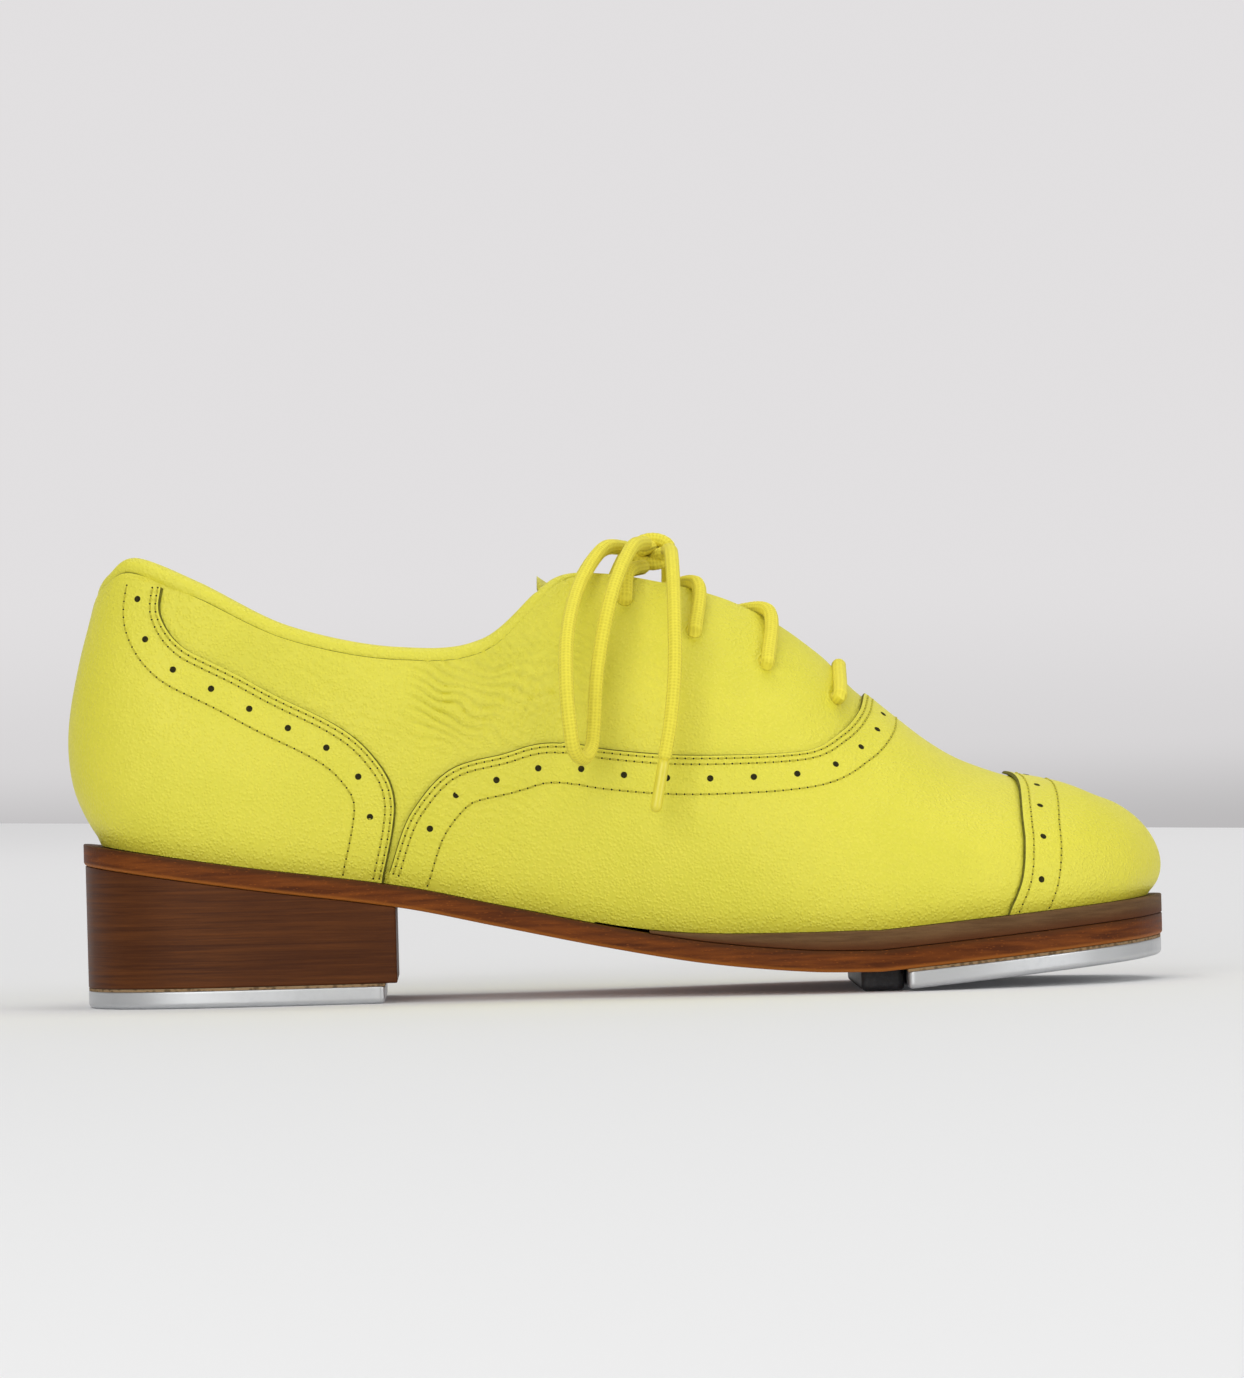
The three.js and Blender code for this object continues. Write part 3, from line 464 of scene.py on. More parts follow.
def new_piece(name, points, faces, materials):
    mesh = bpy.data.meshes.new(name)
    mesh.from_pydata([tuple(p) for p in placed(points)], [], [tuple(int(i) for i in f) for f in faces])
    bm = bmesh.new()
    bm.from_mesh(mesh)
    bmesh.ops.recalc_face_normals(bm, faces=bm.faces)
    bm.to_mesh(mesh)
    bm.free()
    mesh.polygons.foreach_set("use_smooth", [True] * len(mesh.polygons))
    mesh.set_sharp_from_angle(angle=math.radians(50))
    piece = bpy.data.objects.new(name, mesh)
    bpy.context.scene.collection.objects.link(piece)
    for material in materials:
        mesh.materials.append(material)
    return piece


def set_attribute(piece, name, values):
    attribute = piece.data.attributes.new(name, "FLOAT", "POINT")
    attribute.data.foreach_set("value", np.asarray(values, np.float32))


def paint_faces(piece, index, chosen):
    """Gives the faces whose every corner is chosen the material at an index."""
    for polygon in piece.data.polygons:
        if all(chosen[i] for i in polygon.vertices):
            polygon.material_index = index


def flexes(piece):
    """Bakes the piece's placement into its mesh."""
    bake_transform(piece)


def stripped(faces):
    """Faces without repeated corners, dropping those with no area."""
    kept = []
    for face in faces:
        corners = [i for k, i in enumerate(face) if i != face[k - 1]]
        if len(set(corners)) >= 3:
            kept.append(corners)
    return kept


def grid_faces(rows, columns, start=0):
    i, j = np.meshgrid(np.arange(rows - 1), np.arange(columns - 1), indexing="ij")
    a = start + i * columns + j
    return np.stack([a, a + columns, a + columns + 1, a + 1], -1).reshape(-1, 4)


def spread(lengths, rows, free):
    """Shares of the way across a patch for each row, close together near its free edge."""
    lengths = np.maximum(lengths, 0.4)[:, None]
    near = np.array(ROLL)[None, :] / lengths if free else np.zeros((len(lengths), 1))
    rest = np.linspace(0, 1, rows + 1)[None, 1:]
    near = near * np.minimum(1, 0.5 / np.maximum(near[:, -1:], 1e-9)) if free else near
    return np.concatenate([near, near[:, -1:] + (1 - near[:, -1:]) * rest], 1)


def leather_panel(name, patches, layer, relief, materials, thick=SKIN, weld=200):
    """A shell of the upper, ruled between two lines on the last on each side of the shoe.

    Each patch gives its side, the line of its free edge, the line opposite, its steps and rows, and
    whether that first edge is a cut one, which is rounded off.
    """
    outer, inner, edge, faces = [], [], [], []
    count = 0
    for patch in patches:
        t = np.linspace(0, 1, patch["steps"] + 1)
        a, b = patch["edge"](t), patch["far"](t)
        side = patch["side"]
        lengths = sum(
            np.linalg.norm(
                last_point(side, *(a + (b - a) * (k + 1) / 6).T) - last_point(side, *(a + (b - a) * k / 6).T), axis=-1
            )
            for k in range(6)
        )
        w = spread(lengths, patch["rows"], patch["cut"])[..., None]
        uv = a[:, None] + (b - a)[:, None] * w
        u, v = uv[..., 0], uv[..., 1]
        distance = w[..., 0] * lengths[:, None]
        if not patch["cut"]:
            distance = distance + UNCUT
        base = last_point(side, u, v)
        normal = last_normal(side, u, v)
        radius = 0.6 * thick
        lip = np.clip(1 - distance / radius, 0, 1)
        depth = layer * LAYER + radius * (1 - np.sqrt(1 - lip**2))
        depth = depth + relief(base.reshape(-1, 3), side).reshape(depth.shape)
        for shell, down in ((outer, depth), (inner, np.full_like(depth, layer * LAYER + thick))):
            points = base - normal * down[..., None]
            seated = np.clip(1 - v / FOOT_BAND, 0, 1)
            points[..., 2] -= (points[..., 2] - base[..., 2] + FOOT_DROP) * seated
            shell.append(points.reshape(-1, 3))
        edge.append(distance.reshape(-1))
        faces.append(grid_faces(*u.shape, start=count))
        count += u.size
    outer, inner, edge = np.concatenate(outer), np.concatenate(inner), np.concatenate(edge)
    keys = np.round(inner * weld).astype(int)
    _, first, index = np.unique(keys, axis=0, return_index=True, return_inverse=True)
    index = index.reshape(-1)
    outer, inner, edge = outer[first], inner[first], edge[first]
    outside = stripped([[index[i] for i in face] for group in faces for face in group])
    n = len(outer)
    used = {}
    for face in outside:
        for k, i in enumerate(face):
            used[(face[k - 1], i)] = True
    walls = [(a, b, b + n, a + n) for a, b in used if (b, a) not in used]
    inside = [[i + n for i in reversed(face)] for face in outside]
    piece = new_piece(name, np.concatenate([outer, inner]), outside + inside + walls, materials)
    set_attribute(piece, "edge", np.concatenate([edge, edge]))
    # The cut edge, the walls and the underside take the edge finish, whose dark is painted shade of the gap at the
    # edge.
    if len(materials) > 1:
        dark = np.concatenate([edge < EDGE_SHADE, np.ones(n, bool)])
        paint_faces(piece, 1, dark)
    return piece


def curve_through(points, spacing):
    """Points about a spacing apart on a smooth line through the given ones."""
    p = np.array(points, float)
    p = np.vstack([2 * p[0] - p[1], p, 2 * p[-1] - p[-2]])
    t = np.linspace(0, len(p) - 3, 24 * (len(p) - 3) + 1)
    i = np.clip(np.floor(t).astype(int), 0, len(p) - 4)
    fine = hermite(p[i], p[i + 1], p[i + 2], p[i + 3], (t - i)[:, None])
    return evenly(fine, spacing)


def evenly(points, spacing):
    gaps = np.linalg.norm(np.diff(points, axis=0), axis=1)
    reach = np.concatenate([[0], np.cumsum(gaps)])
    count = max(2, int(round(reach[-1] / spacing)) + 1)
    at = np.linspace(0, reach[-1], count)
    return np.stack([np.interp(at, reach, points[:, k]) for k in range(3)], -1)


def tube(points, radius, sides=16, up=(0, 0, 1), braid=0.0, round_ends=True):
    """A cord along points: its vertices, faces, and the length and turn at each vertex."""
    p = np.array(points, float)
    tangent = unit(np.gradient(p, axis=0))
    first = np.cross(tangent[0], up)
    first = first / max(np.linalg.norm(first), 1e-9)
    across = [first]
    for k in range(1, len(p)):
        x = across[-1] - tangent[k] * np.dot(across[-1], tangent[k])
        across.append(x / np.linalg.norm(x))
    across = np.array(across)
    above = np.cross(across, tangent)
    reach = np.concatenate([[0], np.cumsum(np.linalg.norm(np.diff(p, axis=0), axis=1))])
    girth = np.broadcast_to(np.asarray(radius, float), len(p))
    taper = np.ones(len(p))
    if round_ends:
        from_end = np.minimum(reach, reach[-1] - reach)
        taper = np.sqrt(np.clip(1 - (1 - np.clip(from_end / girth, 0, 1)) ** 2, 0.02, 1))
    turn = np.linspace(0, 2 * math.pi, sides, endpoint=False)
    r = (girth * taper)[:, None] * np.ones((1, sides))
    if braid:
        a = turn[None, :] * 4
        s = 2 * math.pi * reach[:, None] / BRAID_PITCH
        r = r * (1 + braid * np.sin(a + s) * np.sin(a - s))
    ring = across[:, None] * np.cos(turn)[None, :, None] + above[:, None] * np.sin(turn)[None, :, None]
    verts = (p[:, None] + ring * r[..., None]).reshape(-1, 3)
    faces = []
    for i in range(len(p) - 1):
        for j in range(sides):
            k = (j + 1) % sides
            faces.append((i * sides + j, i * sides + k, (i + 1) * sides + k, (i + 1) * sides + j))
    faces.append(tuple(range(sides)))
    faces.append(tuple(range((len(p) - 1) * sides, len(p) * sides)))
    return verts, faces, np.repeat(reach, sides), np.tile(turn, len(p))


def joined(parts):
    """Several lists of vertices and faces as one."""
    verts, faces, count = [], [], 0
    for v, f in parts:
        verts.append(np.asarray(v, float))
        faces += [tuple(i + count for i in face) for face in f]
        count += len(v)
    return np.concatenate(verts), faces


def floor_level(x):
    return np.zeros_like(x)


def above(level, rise):
    """A level a fixed way over another one."""
    return lambda x: level(x) + rise


def half_outline(start, end, inset, cut, steps):
    """Half of the sole's outline between two shares of it, and its outward normals.

    Where the outline is cut straight across, the corner is rounded by the cut radius.
    """
    x, y, nx, ny = outline(np.linspace(start, end, steps + 1), inset)
    points, normals = np.stack([x, y], -1), np.stack([nx, ny], -1)
    for past, toward in ((start > 0, -1.0), (end < 1, 1.0)):
        if not past:
            continue
        points, normals = (points, normals) if toward > 0 else (points[::-1], normals[::-1])
        limit = points[-1, 0]
        keep = (limit - points[:, 0]) * toward > cut
        kept, kept_normals = points[keep], normals[keep]
        corner = np.array([limit - toward * cut, kept[-1, 1] - cut])
        turn = np.linspace(math.pi / 2, 0, CORNER_STEPS + 1)[:, None]
        arc_normals = np.concatenate([np.cos(turn) * toward, np.sin(turn)], 1)
        share = np.linspace(1, 0, CORNER_STEPS)[1:, None]
        across = share * np.array([0, corner[1]]) + np.array([limit, 0])
        points = np.concatenate([kept, corner + arc_normals * cut, across])
        normals = np.concatenate([kept_normals, arc_normals, np.tile([toward, 0.0], (len(across), 1))])
        points, normals = (points, normals) if toward > 0 else (points[::-1], normals[::-1])
    return points, normals


def slab(name, materials, slot, start=0.0, end=1.0, inset=0.0, low=None, high=None, steps=120, bottom=0.4, top=0.3,
         cut=0.4, segments=4):
    """A piece with the sole's outline between two stations and two heights, with its rims rounded."""
    points, normals = half_outline(start, end, inset, cut, steps)
    quarter = np.linspace(0, math.pi / 2, segments + 1)
    rim = [(bottom * (1 - math.sin(a)), bottom * (1 - math.cos(a))) for a in quarter]
    rings = [(bottom + RIM_SUPPORT, 0.0, 0)] + [(d, z, 0) for d, z in rim] + [(0.0, bottom + RIM_SUPPORT, 0)]
    rim = [(top * (1 - math.sin(a)), top * (1 - math.cos(a))) for a in quarter[::-1]]
    rings += [(0.0, top + RIM_SUPPORT, 1)] + [(d, z, 1) for d, z in rim] + [(top + RIM_SUPPORT, 0.0, 1)]
    room = (high(points[:, 0]) - low(points[:, 0])) / (bottom + top + 2 * RIM_SUPPORT)
    fit = np.minimum(1, 0.9 * room)
    n = len(points)
    loop = 2 * n - 2
    verts = []
    for d, rise, upper in rings:
        at = points - normals * (d * fit)[:, None]
        x, y = at[:, 0], np.maximum(at[:, 1], 0)
        y[[0, -1]] = 0
        z = high(x) - rise * fit if upper else low(x) + rise * fit
        left = np.stack([x, bend(x) - y, z], -1)
        right = np.stack([x, bend(x) + y, z], -1)
        verts.append(np.concatenate([left, right[-2:0:-1]]))
    faces = [
        (k * loop + i, k * loop + (i + 1) % loop, (k + 1) * loop + (i + 1) % loop, (k + 1) * loop + i)
        for k in range(len(rings) - 1) for i in range(loop)
    ]
    count = len(rings) * loop
    for ring in (0, len(rings) - 1):
        base, border = ring * loop, verts[ring]
        share = (np.arange(1, CAP_COLUMNS) / CAP_COLUMNS)[None, :, None]
        left, right = border[1:n - 1, None], border[loop - np.arange(1, n - 1), None]
        verts.append((left + (right - left) * share).reshape(-1, 3))

        def row(i):
            inner = count + (i - 1) * (CAP_COLUMNS - 1) + np.arange(CAP_COLUMNS - 1)
            return [base + i, *inner, base + loop - i]

        for i in range(1, n - 2):
            a, b = row(i), row(i + 1)
            faces += [(a[k], a[k + 1], b[k + 1], b[k]) for k in range(CAP_COLUMNS)]
        for tip, line in ((base, row(1)), (base + n - 1, row(n - 2))):
            faces += [(tip, p, q) for p, q in zip(line, line[1:])]
        count += (n - 2) * (CAP_COLUMNS - 1)
    return new_piece(name, np.concatenate(verts), faces, materials)


def drilled(piece, cutter):
    """Cuts the cutter's solid out of a piece, and removes the cutter."""
    modifier = piece.modifiers.new("holes", "BOOLEAN")
    modifier.operation = "DIFFERENCE"
    modifier.solver = "EXACT"
    modifier.object = cutter
    bpy.context.view_layer.update()
    made = bpy.data.meshes.new_from_object(piece.evaluated_get(bpy.context.evaluated_depsgraph_get()))
    piece.modifiers.clear()
    piece.data = made
    piece.data.set_sharp_from_angle(angle=math.radians(35))
    bpy.data.objects.remove(cutter)
    return piece


def surface_of(piece):
    mesh = piece.data
    corners = [v.co.copy() for v in mesh.vertices]
    return BVHTree.FromPolygons(corners, [tuple(p.vertices) for p in mesh.polygons])


def dropped(surface, points, lift):
    """Points moved onto a surface and raised from it by a lift in millimetres."""
    out, normals = [], []
    for p in placed(points):
        at, normal, _, _ = surface.find_nearest(Vector(p))
        out.append(np.array(at) / MM + np.array([PLACE, 0, 0]) + np.array(normal) * lift)
        normals.append(np.array(normal))
    return np.array(out), np.array(normals)


# ---------- finishes ----------


class Field:
    """A value, colour or vector on its way through a finish."""

    def __init__(self, finish, socket, kind="value"):
        self.finish, self.socket, self.kind = finish, socket, kind

    def _with(self, operation, other):
        inputs = {0: self, 1: other}
        if self.kind == "value" and getattr(other, "kind", "value") == "value":
            return self.finish.node("ShaderNodeMath", {"operation": operation}, inputs)
        if operation == "MULTIPLY" and np.isscalar(other):
            operation, inputs = "SCALE", {0: self, "Scale": other}
        return self.finish.node("ShaderNodeVectorMath", {"operation": operation}, inputs, gives="vector")

    def __add__(self, other):
        return self._with("ADD", other)

    __radd__ = __add__

    def __mul__(self, other):
        return self._with("MULTIPLY", other)

    __rmul__ = __mul__

    def __sub__(self, other):
        return self._with("SUBTRACT", other)

    def __rsub__(self, other):
        return (self * -1.0) + other

    def clamped(self, low=0.0, high=1.0):
        inputs = {"Value": self, "Min": low, "Max": high}
        return self.finish.node("ShaderNodeClamp", {}, inputs)

    def eased(self, low, high):
        """0 below low, 1 above high and smooth between."""
        inputs = {"Value": self, "From Min": low, "From Max": high}
        return self.finish.node("ShaderNodeMapRange", {"interpolation_type": "SMOOTHSTEP"}, inputs)


class Finish:
    """One material, with a surface shader whose sockets take numbers or fields."""

    def __init__(self, name, **constants):
        self.material = bpy.data.materials.new(name)
        self.material.use_nodes = True
        self.tree = self.material.node_tree
        self.shader = self.tree.nodes["Principled BSDF"]
        for socket, value in constants.items():
            self.set(socket.replace("_", " "), value)

    def node(self, kind, settings, inputs, output=0, gives="value"):
        made = self.tree.nodes.new(kind)
        for key, value in settings.items():
            setattr(made, key, value)
        for key, value in inputs.items():
            socket = made.inputs[key]
            if isinstance(value, Field):
                self.tree.links.new(value.socket, socket)
            else:
                socket.default_value = value
        return Field(self, made.outputs[output], gives)

    def place(self):
        """The point of the surface, in metres."""
        return self.node("ShaderNodeTexCoord", {}, {}, output="Object", gives="vector")

    def stretched(self, scale):
        inputs = {"Vector": self.place(), "Scale": scale}
        return self.node("ShaderNodeMapping", {}, inputs, gives="vector")

    def attribute(self, name):
        return self.node("ShaderNodeAttribute", {"attribute_name": name}, {}, output="Fac")

    def noise(self, scale, detail=3.0, rough=0.5, at=None):
        inputs = {"Vector": at or self.place(), "Scale": scale, "Detail": detail, "Roughness": rough}
        return self.node("ShaderNodeTexNoise", {}, inputs, output="Fac")

    def cells(self, scale, at=None):
        inputs = {"Vector": at or self.place(), "Scale": scale}
        return self.node("ShaderNodeTexVoronoi", {}, inputs, output="Distance")

    def coordinate(self, axis="Z"):
        """One coordinate of the surface, in metres."""
        return self.node("ShaderNodeSeparateXYZ", {}, {0: self.place()}, output=axis)

    def mix(self, share, a, b):
        """Colour a to colour b by a share."""
        made = self.tree.nodes.new("ShaderNodeMix")
        made.data_type = "RGBA"
        for socket, value in ((made.inputs["Factor"], share), (made.inputs[6], a), (made.inputs[7], b)):
            if isinstance(value, Field):
                self.tree.links.new(value.socket, socket)
            elif socket.type == "RGBA":
                socket.default_value = (*value[:3], 1)
            else:
                socket.default_value = value
        return Field(self, made.outputs[2], "vector")

    def bump(self, height, distance, strength=1.0):
        """Raises the surface by a height field, over a distance in metres."""
        inputs = {"Height": height, "Distance": distance, "Strength": strength}
        self.set("Normal", self.node("ShaderNodeBump", {}, inputs, gives="vector"))

    def set(self, name, value):
        socket = self.shader.inputs[name]
        if isinstance(value, Field):
            self.tree.links.new(value.socket, socket)
        else:
            socket.default_value = (*value, 1) if socket.type == "RGBA" and len(value) == 3 else value


FINISHES = {}


def finish(name):
    """The named finish, made the first time that it is asked for."""
    if name not in FINISHES:
        FINISHES[name] = MAKERS[name]()
    return FINISHES[name]


def sizes():
    return bpy.context.scene.tap_oxford_sizes


def colours():
    return bpy.context.scene.tap_oxford_colours


def tinted(colour, red=1.0, green=1.0, blue=1.0):
    return (colour[0] * red, colour[1] * green, colour[2] * blue)


def yellow_leather():
    """Grained and lightly mottled, darkened with painted shade in its folds, with a soft shine."""
    base = tuple(colours().leather)
    f = Finish("yellow_leather", Specular_IOR_Level=0.45)
    mottle = f.noise(38.0, 4.0, 0.6)
    fine = f.noise(420.0, 2.0, 0.5)
    inputs = {"Vector": f.place(), "Scale": 700.0, "Detail": 1.0}
    drift = f.node("ShaderNodeTexNoise", {}, inputs, output="Color", gives="vector")
    pores = f.cells(1150.0, at=f.place() + drift * 0.0007)
    grain = (1.0 - pores.eased(0.12, 0.62)) * 0.75 + fine * 0.5
    colour = f.mix(mottle.eased(0.35, 0.7) * 0.55, base, tinted(base, 0.93, 0.95, 0.8))
    colour = f.mix(pores.eased(0.35, 0.8) * 0.16, colour, tinted(base, 0.7, 0.72, 0.45))
    # Painted shade: the folds are darkened as deep as the crease attribute marks them.
    colour = f.mix(f.attribute("crease").clamped() * 0.6, colour, tinted(base, 0.66, 0.66, 0.5))
    f.set("Base Color", colour)
    f.set("Roughness", 0.36 + mottle * 0.18 + pores.eased(0.1, 0.7) * 0.08)
    f.bump(grain + f.noise(160.0, 2.0) * 0.8, 0.0003, 0.6)
    return f.material


def grained(name, base, pattern, span, tint, roughness, share=1.0, bump=None, **constants):
    """A finish of one noise pattern, which tints the colour, roughens the shine and raises the surface."""
    f = Finish(name, **constants)
    grain = f.noise(*pattern)
    f.set("Base Color", f.mix(grain.eased(*span) * share, tuple(base), tinted(base, *tint)))
    f.set("Roughness", roughness[0] + grain * roughness[1])
    if bump:
        f.bump(grain, bump)
    return f.material


def cut_edge():
    """Painted shade for the cut edge of a leather panel: the dark of the gap beside it, coloured in."""
    return grained("painted_edge_shade", colours().edge, (900.0, 2.0), (0.3, 0.7), (1.7, 1.7, 1.4), (0.7, 0.2),
                   bump=0.0001, Specular_IOR_Level=0.2)


def thread():
    return grained("sewing_thread", colours().thread, (2600.0, 1.0), (0.3, 0.7), (0.72, 0.72, 0.7),
                   (0.62, 0.2), bump=0.00006, Specular_IOR_Level=0.3)


def needle_hole():
    """Painted shade for the dark inside of a needle hole, and for a punched hole, whose dark is partly its backing.
    """
    return grained("punched_hole", colours().hole, (1500.0, 2.0), (0.4, 0.75), (2.2, 2.0, 1.4),
                   (0.8, 0.15), Specular_IOR_Level=0.15)


def lining_leather():
    f = Finish("lining_leather", Specular_IOR_Level=0.35)
    base = tuple(colours().lining)
    cloud = f.noise(60.0, 4.0)
    pores = f.cells(1500.0)
    f.set("Base Color", f.mix(cloud.eased(0.35, 0.7) * 0.6, base, tinted(base, 0.86, 0.82, 0.74)))
    f.set("Roughness", 0.55 + cloud * 0.2)
    f.bump(pores.eased(0.1, 0.6) * -0.6 + f.noise(250.0, 2.0), 0.00012)
    return f.material


def lace_cotton():
    """Braided lace: strands cross in a fine diamond pattern along its length, with painted shade in the valleys
    between them.
    """
    f = Finish("lace_cotton", Specular_IOR_Level=0.25, Sheen_Weight=0.06, Sheen_Roughness=0.5)
    base = tuple(colours().lace)
    reach, turn = f.attribute("reach"), f.attribute("turn")
    pitch = 2 * math.pi / 1.7
    one = f.node("ShaderNodeMath", {"operation": "SINE"}, {0: reach * pitch + turn * 5.0})
    two = f.node("ShaderNodeMath", {"operation": "SINE"}, {0: reach * pitch - turn * 5.0})
    weave = one * two * 0.5 + 0.5
    fuzz = f.noise(1800.0, 3.0, 0.6)
    # Painted shade: the valleys of the weave are darkened.
    colour = f.mix((1.0 - weave.eased(0.1, 0.7)) * 0.5, base, tinted(base, 0.72, 0.68, 0.45))
    f.set("Base Color", f.mix(fuzz.eased(0.4, 0.8) * 0.25, colour, tinted(base, 1.12, 1.12, 1.5)))
    f.set("Roughness", 0.72 + fuzz * 0.2)
    f.bump(weave * 0.8 + fuzz * 0.4, 0.00028, 0.7)
    return f.material


def aglet_film():
    f = Finish("aglet_film", Specular_IOR_Level=0.5, Coat_Roughness=0.2)
    base = tinted(tuple(colours().lace), 0.95, 0.95, 0.9)
    wrap = f.noise(500.0, 2.0, at=f.stretched((1, 1, 0.2)))
    f.set("Base Color", f.mix(wrap.eased(0.3, 0.7) * 0.5, base, tinted(base, 0.8, 0.78, 0.6)))
    f.set("Roughness", 0.25 + wrap * 0.15)
    f.bump(wrap, 0.00005)
    return f.material


def sole_leather():
    """Burnished edge: fine lengthways streaks, dark in the pores and lighter where rubbed."""
    f = Finish("sole_leather", Specular_IOR_Level=0.12)
    base = tuple(colours().sole)
    streak = f.noise(240.0, 5.0, 0.65, at=f.stretched((0.22, 0.22, 3.2)))
    blotch = f.noise(45.0, 3.0, 0.6)
    pits = f.cells(900.0, at=f.stretched((0.6, 0.6, 2.0)))
    level = f.attribute("level")
    colour = f.mix(streak.eased(0.3, 0.72), tinted(base, 0.5, 0.42, 0.36), tinted(base, 1.35, 1.3, 1.2))
    colour = f.mix(blotch.eased(0.42, 0.7) * 0.5, colour, tinted(base, 0.75, 0.62, 0.5))
    colour = f.mix((1.0 - level.eased(0.05, 0.22)) * 0.75, colour, tinted(base, 2.6, 3.1, 3.4))
    colour = f.mix(level.eased(0.66, 0.95) * 0.75, colour, tinted(base, 0.42, 0.5, 0.62))
    colour = f.mix((1.0 - pits.eased(0.05, 0.25)) * 0.6, colour, tinted(base, 2.0, 1.9, 1.7))
    f.set("Base Color", colour)
    f.set("Roughness", 0.42 + streak * 0.25)
    f.bump(streak * 0.7 + f.noise(1200.0, 2.0) * 0.5, 0.00025, 0.6)
    return f.material


def welt_leather():
    f = Finish("welt_leather", Specular_IOR_Level=0.12)
    base = tuple(colours().welt)
    streak = f.noise(260.0, 5.0, 0.65, at=f.stretched((0.25, 0.25, 3.0)))
    blotch = f.noise(60.0, 3.0, 0.6)
    dark, pale = tinted(base, 0.72, 0.68, 0.62), tinted(base, 1.25, 1.25, 1.25)
    colour = f.mix(streak.eased(0.3, 0.7), dark, pale)
    colour = f.mix(blotch.eased(0.4, 0.7) * 0.4, colour, tinted(base, 0.8, 0.72, 0.6))
    low = 1.0 - f.attribute("level").eased(0.0, 0.75)
    f.set("Base Color", f.mix(low * 0.85, colour, tinted(tuple(colours().sole), 0.55, 0.5, 0.6)))
    f.set("Roughness", 0.5 + streak * 0.25)
    f.bump(streak * 0.7 + f.noise(1100.0, 2.0) * 0.5, 0.00025, 0.6)
    return f.material


def heel_stack():
    """Stacked heel: thin horizontal fibres, with a low polish."""
    f = Finish("heel_stack", Specular_IOR_Level=0.14)
    base = tuple(colours().heel)
    fibre = f.noise(150.0, 6.0, 0.7, at=f.stretched((0.14, 0.14, 5.5)))
    hair = f.noise(420.0, 4.0, 0.7, at=f.stretched((0.05, 0.05, 4.0)))
    cloud = f.noise(28.0, 3.0)
    colour = f.mix(fibre.eased(0.3, 0.7), tinted(base, 0.62, 0.55, 0.5), tinted(base, 1.45, 1.5, 1.5))
    colour = f.mix(hair.eased(0.52, 0.7) * 0.45, colour, tinted(base, 2.0, 2.1, 2.0))
    colour = f.mix(cloud.eased(0.4, 0.7) * 0.4, colour, tinted(base, 0.7, 0.6, 0.5))
    f.set("Base Color", colour)
    f.set("Roughness", 0.36 + fibre * 0.22)
    f.bump(fibre * 0.6 + hair * 0.6, 0.0002, 0.5)
    return f.material


def tap_aluminium():
    """Satin cast aluminium: very fine brushing and a few scuffs."""
    f = Finish("tap_aluminium", Metallic=1.0)
    base = tuple(colours().tap)
    brush = f.noise(900.0, 3.0, 0.6, at=f.stretched((0.08, 0.08, 1.0)))
    scuff = f.noise(70.0, 5.0, 0.7)
    f.set("Base Color", f.mix(scuff.eased(0.45, 0.75) * 0.5, base, tinted(base, 0.8, 0.8, 0.82)))
    f.set("Roughness", 0.36 + brush * 0.1 + scuff.eased(0.4, 0.8) * 0.12)
    f.bump(brush, 0.00002, 0.5)
    return f.material


def plated_steel():
    return grained("plated_steel", STEEL_COLOUR, (600.0, 3.0), (0.4, 0.7), (0.6, 0.6, 0.62),
                   (0.28, 0.2), share=0.5, bump=0.00002, Metallic=1.0)


def black_rubber():
    return grained("black_rubber", colours().rubber, (900.0, 4.0, 0.6), (0.4, 0.7), (2.2, 2.2, 2.2),
                   (0.34, 0.25), bump=0.0001, Specular_IOR_Level=0.45)


def fibre_board():
    f = Finish("fibre_board", Specular_IOR_Level=0.2)
    base = tuple(colours().board)
    fleck = f.cells(700.0)
    fibre = f.noise(500.0, 4.0, 0.7)
    dark, pale = tinted(base, 0.6, 0.55, 0.5), tinted(base, 1.4, 1.35, 1.25)
    f.set("Base Color", f.mix(fleck.eased(0.2, 0.6), dark, pale))
    f.set("Roughness", 0.8 + fibre * 0.15)
    f.bump(fibre, 0.0002)
    return f.material


def studio_floor():
    f = Finish("studio_floor", Specular_IOR_Level=0.1, Roughness=0.9, Emission_Strength=1.0)
    base = (0.80, 0.80, 0.80)
    back = f.coordinate("Y")
    f.set("Base Color", f.mix(back.eased(0.1, 3.2), base, tinted(base, 0.97, 0.97, 0.97)))
    # The floor glows as painted light, faint by the shoe and brighter towards the back.
    f.set("Emission Color", f.mix(back.eased(-0.35, 2.4), (0.012, 0.012, 0.013), (0.25, 0.247, 0.25)))
    return f.material


def studio_wall():
    """Pale paper that glows as painted light, with painted shade that darkens it softly towards the floor."""
    f = Finish("studio_wall", Specular_IOR_Level=0.0, Roughness=1.0, Emission_Strength=1.0)
    base = (0.758, 0.742, 0.750)
    height = f.coordinate()
    dark, pale = tinted(base, 0.66, 0.66, 0.66), tinted(base, 0.89, 0.89, 0.89)
    low = f.mix(height.eased(-0.09, 0.02), dark, pale)
    f.set("Emission Color", f.mix(height.eased(-0.03, 0.2), low, base))
    f.set("Base Color", (0.0, 0.0, 0.0))
    return f.material


MAKERS = {
    "leather": yellow_leather, "edge": cut_edge, "thread": thread, "hole": needle_hole, "lining": lining_leather,
    "lace": lace_cotton, "aglet": aglet_film, "sole": sole_leather, "welt": welt_leather, "heel": heel_stack,
    "tap": tap_aluminium, "steel": plated_steel, "rubber": black_rubber, "board": fibre_board,
    "floor": studio_floor, "wall": studio_wall,
}

# ---------- sizes and colours that a user would change ----------


def size_property(name, description, metres):
    return FloatProperty(name=name, description=description, default=metres, unit="LENGTH")


